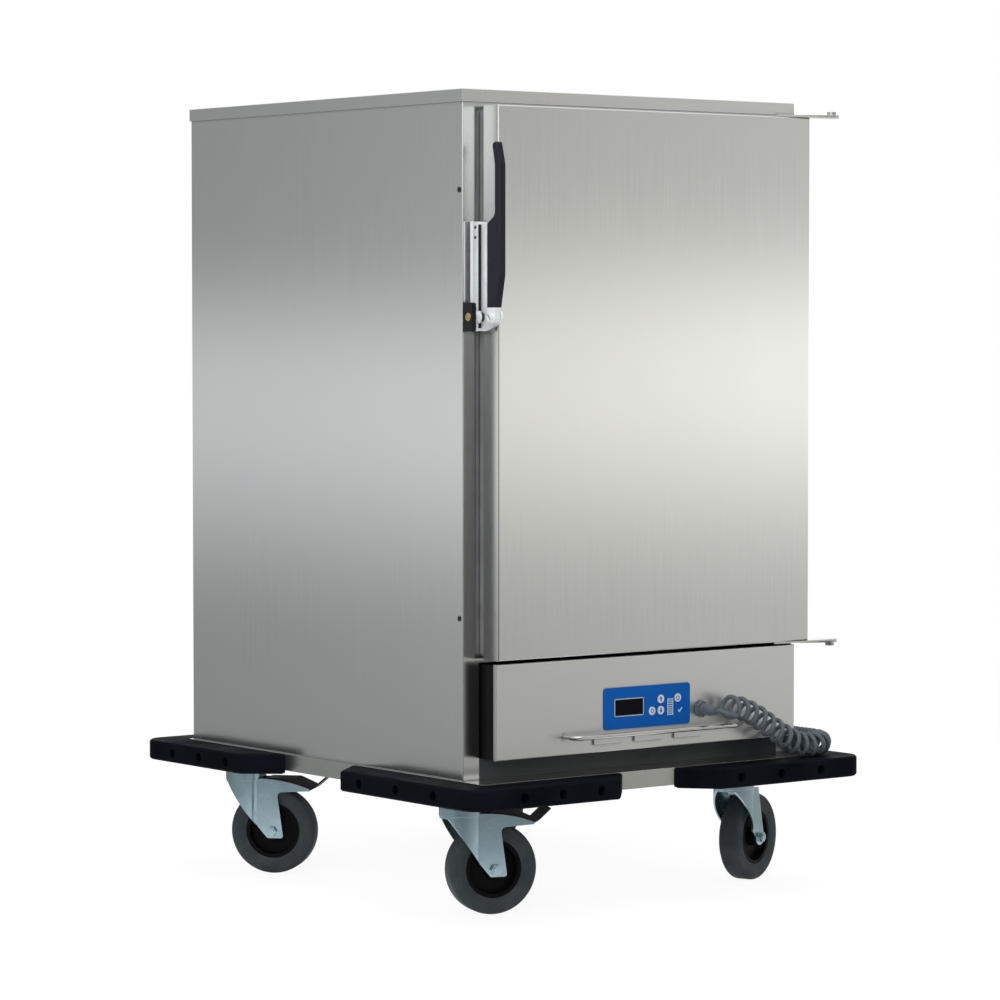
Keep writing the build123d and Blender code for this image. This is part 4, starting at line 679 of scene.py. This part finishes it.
strike_black = cloudy_finish("black strike plastic", (0.006, 0.006, 0.007), rough=(0.45, 0.55),
                             cloud=30.0, shade=1.4, pores=(1600.0, 0.0001), specular=0.25)
bolt_brass = cloudy_finish("brass bolt", (0.55, 0.40, 0.18), rough=(0.24, 0.38), cloud=40.0, shade=0.8,
                           pores=(1200.0, 0.00006), metallic=1.0)
screw_dark = cloudy_finish("dark screw", (0.12, 0.125, 0.13), rough=(0.35, 0.5), cloud=60.0, shade=0.8,
                           pores=(1500.0, 0.00004), metallic=0.8)
dress(latch_zinc, "latch_case")
dress(lever_black, "latch_handle")
dress(strike_black, "strike_block")
dress(bolt_brass, "latch_bolt")
strip_bm = bmesh.new()
for down in STRIP_SCREWS_DOWN:
    seat = (STRIP_SCREW_X, STRIP_FACE_Y, LATCH_TOP - down * MM)
    add_screw(strip_bm, seat, (0, -1, 0), STRIP_SCREW_R, STRIP_SCREW_H)
keep_piece("latch_screws", strip_bm, screw_dark, "door")
cheek_bm = bmesh.new()
cheek_seat = (CHEEK_FACE_X, CHEEK_PIN_Y, LATCH_TOP - CHEEK_PIN_DOWN)
add_screw(cheek_bm, cheek_seat, (-1, 0, 0), CHEEK_PIN_R, CHEEK_PIN_H)
keep_piece("cheek_pin", cheek_bm, latch_zinc, "door")


def add_bar(bm, middle, size, turn=0.0, soft=0.0):
    """A bar with softened edges, turned about X through its middle."""
    stand = Matrix.Translation(middle) @ Matrix.Rotation(turn, 4, "X") @ Matrix.Diagonal((*size, 1.0))
    made = bmesh.ops.create_cube(bm, size=1.0, matrix=stand)
    edges = {edge for vert in made["verts"] for edge in vert.link_edges}
    bmesh.ops.bevel(bm, geom=list(edges), offset=soft, segments=2, profile=0.5, affect="EDGES",
                    material=-1)


# Painted shade: two thin black strips in the corner between strip and cheek stand for the shade of the gap
# there.
shade_strip_bm = bmesh.new()
shade_strip_runs = ((LATCH_BOTTOM + SHADE_STRIP_END, PIVOT.z - SHADE_STRIP_CLEAR),
              (PIVOT.z + SHADE_STRIP_CLEAR, LATCH_TOP - SHADE_STRIP_END))
for bottom, top in shade_strip_runs:
    shade_strip_middle = (CHEEK_FACE_X - SHADE_STRIP_W / 2, STRIP_FACE_Y - SHADE_STRIP_T / 2, (bottom + top) / 2)
    add_bar(shade_strip_bm, shade_strip_middle, (SHADE_STRIP_W, SHADE_STRIP_T, top - bottom), soft=SHADE_STRIP_SOFT)
keep_piece("latch_shade_strip", shade_strip_bm, strike_black, "door")
slot_bm = bmesh.new()
add_bar(slot_bm, PIVOT, (PIVOT_SLOT_T, PIVOT_SLOT_W, PIVOT_SLOT_L), PIVOT_SLOT_TURN, PIVOT_SLOT_SOFT)
keep_piece("pivot_slot", slot_bm, screw_dark, "door")


# Studio.
# A white floor and surround, soft lamps, and a wide ring of cloth that only reflections show. The ring
# is banded by height and along X, and behind the camera it is dark below and bright above.
FLOOR_R = 7.0
FLOOR_SOLID_R = 3.0
FLOOR_GLOW_SHARE = 0.8
FLOOR_GLOW = 1.13
RING_R = 3.0
RING_FOOT_R = 1.0
RING_FOOT_Z = 0.002
RING_TOP = 2.8
RING_LEVELS = ((0.0, 0.44), (0.2, 0.45), (0.4, 0.47), (0.6, 0.73), (0.87, 1.02), (1.04, 0.94), (1.24, 0.54),
               (1.45, 0.49))
RING_TURNS = ((0.0, (0.83, 0.86, 0.86)), (0.2, (0.545, 0.565, 0.575)), (0.5, (0.55, 0.555, 0.555)),
              (0.72, (0.79, 0.785, 0.76)), (0.86, (1.03, 1.025, 0.995)), (1.0, (1.06, 1.055, 1.02)))
RING_STRENGTH = 1.36
RING_LEAN = 0.0228
RING_LEVEL_X = 1.8
DARK_SIDE = (-0.611, -0.792)
DARK_FROM = 2.35
DARK_FULL = 2.8
DARK_STRENGTH = 0.2
DARK_TOP = 1.12
BRIGHT_FROM = 1.36
BRIGHT_STRENGTH = 4.4
SKY_LIGHT = 0.45
SKY_SEEN = 1.0


def seen_by_eye_and_metal(tree):
    """Light Path as 1 for rays from the camera, off metal and through glass."""
    path = tree.nodes.new("ShaderNodeLightPath")
    total = path.outputs["Is Camera Ray"]
    for kind in ("Is Glossy Ray", "Is Transmission Ray"):
        both = tree.nodes.new("ShaderNodeMath")
        both.operation = "MAXIMUM"
        tree.links.new(total, both.inputs[0])
        tree.links.new(path.outputs[kind], both.inputs[1])
        total = both.outputs["Value"]
    return total


def keep_stage(name, bm, material):
    mesh = bpy.data.meshes.new(name)
    bm.to_mesh(mesh)
    bm.free()
    mesh.materials.append(material)
    thing = bpy.data.objects.new(name, mesh)
    scene.collection.objects.link(thing)
    return thing


floor_white, floor_tree, floor_shader = new_finish("white floor", (0.86, 0.86, 0.86), 0.9)
glow = floor_tree.nodes.new("ShaderNodeEmission")
glow.inputs["Strength"].default_value = FLOOR_GLOW
share = floor_tree.nodes.new("ShaderNodeMath")
share.operation = "MULTIPLY"
share.inputs[1].default_value = FLOOR_GLOW_SHARE
lit_floor = floor_tree.nodes.new("ShaderNodeMixShader")
floor_tree.links.new(seen_by_eye_and_metal(floor_tree), share.inputs[0])
floor_tree.links.new(share.outputs["Value"], lit_floor.inputs["Fac"])
floor_tree.links.new(floor_shader.outputs["BSDF"], lit_floor.inputs[1])
floor_tree.links.new(glow.outputs["Emission"], lit_floor.inputs[2])
floor_coords = floor_tree.nodes.new("ShaderNodeTexCoord")
floor_reach = floor_tree.nodes.new("ShaderNodeVectorMath")
floor_reach.operation = "LENGTH"
floor_tree.links.new(floor_coords.outputs["Object"], floor_reach.inputs[0])
fade = floor_tree.nodes.new("ShaderNodeMapRange")
fade.interpolation_type = "SMOOTHSTEP"
fade.inputs["From Min"].default_value = FLOOR_SOLID_R
fade.inputs["From Max"].default_value = FLOOR_R
floor_tree.links.new(floor_reach.outputs["Value"], fade.inputs["Value"])
clear = floor_tree.nodes.new("ShaderNodeBsdfTransparent")
faded_floor = floor_tree.nodes.new("ShaderNodeMixShader")
floor_tree.links.new(fade.outputs["Result"], faded_floor.inputs["Fac"])
floor_tree.links.new(lit_floor.outputs["Shader"], faded_floor.inputs[1])
floor_tree.links.new(clear.outputs["BSDF"], faded_floor.inputs[2])
floor_tree.links.new(faded_floor.outputs["Shader"], floor_tree.nodes["Material Output"].inputs["Surface"])
floor_bm = bmesh.new()
bmesh.ops.create_circle(floor_bm, cap_ends=True, segments=96, radius=FLOOR_R)
keep_stage("floor", floor_bm, floor_white)

ring_cloth = bpy.data.materials.new("lit cloth")
ring_cloth.use_nodes = True
ring_tree = ring_cloth.node_tree
ring_tree.nodes.remove(ring_tree.nodes["Principled BSDF"])
ring_place = ring_tree.nodes.new("ShaderNodeSeparateXYZ")
ring_coords = ring_tree.nodes.new("ShaderNodeTexCoord")
ring_tree.links.new(ring_coords.outputs["Object"], ring_place.inputs["Vector"])
band_sink = ring_tree.nodes.new("ShaderNodeMath")
band_sink.operation = "MULTIPLY_ADD"
band_sink.inputs[1].default_value = -RING_LEAN
band_sink.inputs[2].default_value = RING_LEAN * RING_LEVEL_X
ring_tree.links.new(ring_place.outputs["X"], band_sink.inputs[0])
band_height = ring_tree.nodes.new("ShaderNodeMath")
band_height.operation = "ADD"
ring_tree.links.new(ring_place.outputs["Z"], band_height.inputs[0])
ring_tree.links.new(band_sink.outputs["Value"], band_height.inputs[1])


def ring_ramp(place, first, last, stops):
    """Colours along one measure of the cloth, from its first value to its last."""
    part = ring_tree.nodes.new("ShaderNodeMapRange")
    part.inputs["From Min"].default_value = first
    part.inputs["From Max"].default_value = last
    ring_tree.links.new(place, part.inputs["Value"])
    ramp = ring_tree.nodes.new("ShaderNodeValToRGB")
    ramp.color_ramp.interpolation = "CARDINAL"
    marks = ramp.color_ramp.elements
    while len(marks) < len(stops):
        marks.new(1.0)
    for mark, (share_along, color) in zip(marks, stops):
        mark.position = share_along
        mark.color = (*color, 1.0)
    ring_tree.links.new(part.outputs["Result"], ramp.inputs["Fac"])
    return ramp.outputs["Color"]


band_stops = [(height / RING_TOP, (level, level, level)) for height, level in RING_LEVELS]
bands = ring_ramp(band_height.outputs["Value"], 0.0, RING_TOP, band_stops)
turns = ring_ramp(ring_place.outputs["X"], -RING_R, RING_R, RING_TURNS)
behind = ring_tree.nodes.new("ShaderNodeVectorMath")
behind.operation = "DOT_PRODUCT"
behind.inputs[1].default_value = (*DARK_SIDE, 0.0)
ring_tree.links.new(ring_coords.outputs["Object"], behind.inputs[0])
lift = ring_tree.nodes.new("ShaderNodeMapRange")
lift.interpolation_type = "SMOOTHSTEP"
lift.inputs["From Min"].default_value = DARK_TOP
lift.inputs["From Max"].default_value = BRIGHT_FROM
lift.inputs["To Min"].default_value = DARK_STRENGTH
lift.inputs["To Max"].default_value = BRIGHT_STRENGTH
ring_tree.links.new(ring_place.outputs["Z"], lift.inputs["Value"])
gloom = ring_tree.nodes.new("ShaderNodeMapRange")
gloom.interpolation_type = "SMOOTHSTEP"
gloom.inputs["From Min"].default_value = DARK_FROM
gloom.inputs["From Max"].default_value = DARK_FULL
gloom.inputs["To Min"].default_value = RING_STRENGTH
ring_tree.links.new(lift.outputs["Result"], gloom.inputs["To Max"])
ring_tree.links.new(behind.outputs["Value"], gloom.inputs["Value"])
lit = ring_tree.nodes.new("ShaderNodeMix")
lit.data_type = "RGBA"
lit.blend_type = "MULTIPLY"
lit.inputs["Factor"].default_value = 1.0
ring_tree.links.new(bands, lit.inputs["A"])
ring_tree.links.new(turns, lit.inputs["B"])
ring_glow = ring_tree.nodes.new("ShaderNodeEmission")
ring_tree.links.new(gloom.outputs["Result"], ring_glow.inputs["Strength"])
ring_tree.links.new(lit.outputs["Result"], ring_glow.inputs["Color"])
ring_tree.links.new(ring_glow.outputs["Emission"], ring_tree.nodes["Material Output"].inputs["Surface"])
cloth_bm = bmesh.new()
cloth_foot = bmesh.ops.create_circle(cloth_bm, segments=96, radius=RING_FOOT_R)
bmesh.ops.translate(cloth_bm, vec=(0, 0, RING_FOOT_Z), verts=cloth_foot["verts"])
drawn = bmesh.ops.extrude_edge_only(cloth_bm, edges=cloth_bm.edges[:])
outer = [item for item in drawn["geom"] if isinstance(item, bmesh.types.BMVert)]
bmesh.ops.scale(cloth_bm, vec=(RING_R / RING_FOOT_R, RING_R / RING_FOOT_R, 1.0), verts=outer)
rim = [item for item in drawn["geom"] if isinstance(item, bmesh.types.BMEdge)]
rim = [edge for edge in rim if all(vert in outer for vert in edge.verts)]
drawn = bmesh.ops.extrude_edge_only(cloth_bm, edges=rim)
upper = [item for item in drawn["geom"] if isinstance(item, bmesh.types.BMVert)]
bmesh.ops.translate(cloth_bm, vec=(0, 0, RING_TOP), verts=upper)
cloth_ring = keep_stage("cloth_ring", cloth_bm, ring_cloth)
cloth_ring.visible_camera = False
cloth_ring.visible_diffuse = False
cloth_ring.visible_shadow = False
cloth_ring.visible_transmission = False

world = bpy.data.worlds.new("studio")
scene.world = world
world.use_nodes = True
sky_tree = world.node_tree
sky = sky_tree.nodes["Background"]
sky.inputs["Color"].default_value = (1.0, 1.0, 1.0, 1.0)
sky_level = sky_tree.nodes.new("ShaderNodeMapRange")
sky_level.inputs["To Min"].default_value = SKY_LIGHT
sky_level.inputs["To Max"].default_value = SKY_SEEN
sky_tree.links.new(seen_by_eye_and_metal(sky_tree), sky_level.inputs["Value"])
sky_tree.links.new(sky_level.outputs["Result"], sky.inputs["Strength"])


def soft_lamp(name, place, aim, size, power):
    """A square lamp that faces the given point."""
    data = bpy.data.lights.new(name, "AREA")
    data.size = size
    data.energy = power
    lamp = bpy.data.objects.new(name, data)
    facing = Vector(aim) - Vector(place)
    turn = facing.to_track_quat("-Z", "Y").to_matrix().to_4x4()
    lamp.matrix_world = Matrix.Translation(place) @ turn
    scene.collection.objects.link(lamp)


soft_lamp("top lamp", (-0.4, -0.8, 3.6), (0.0, 0.0, 0.8), 3.0, 45.0)
soft_lamp("front lamp", (-4.0, -3.0, 2.2), (0.0, 0.0, 0.6), 2.4, 90.0)

# Camera.
# It stands at the photographer's place, a little below the cabinet's middle and to its left.
CAMERA_PLACE = (-4.2986, -5.5799, 1.03605)
CAMERA_TURN = (radians(87.28), 0.0, radians(-37.66))
camera_data = bpy.data.cameras.new("camera")
camera_data.sensor_width = 36.0
camera_data.lens = 137.77
camera_data.clip_end = 100.0
camera = bpy.data.objects.new("camera", camera_data)
camera.location = CAMERA_PLACE
camera.rotation_euler = CAMERA_TURN
scene.collection.objects.link(camera)
scene.camera = camera
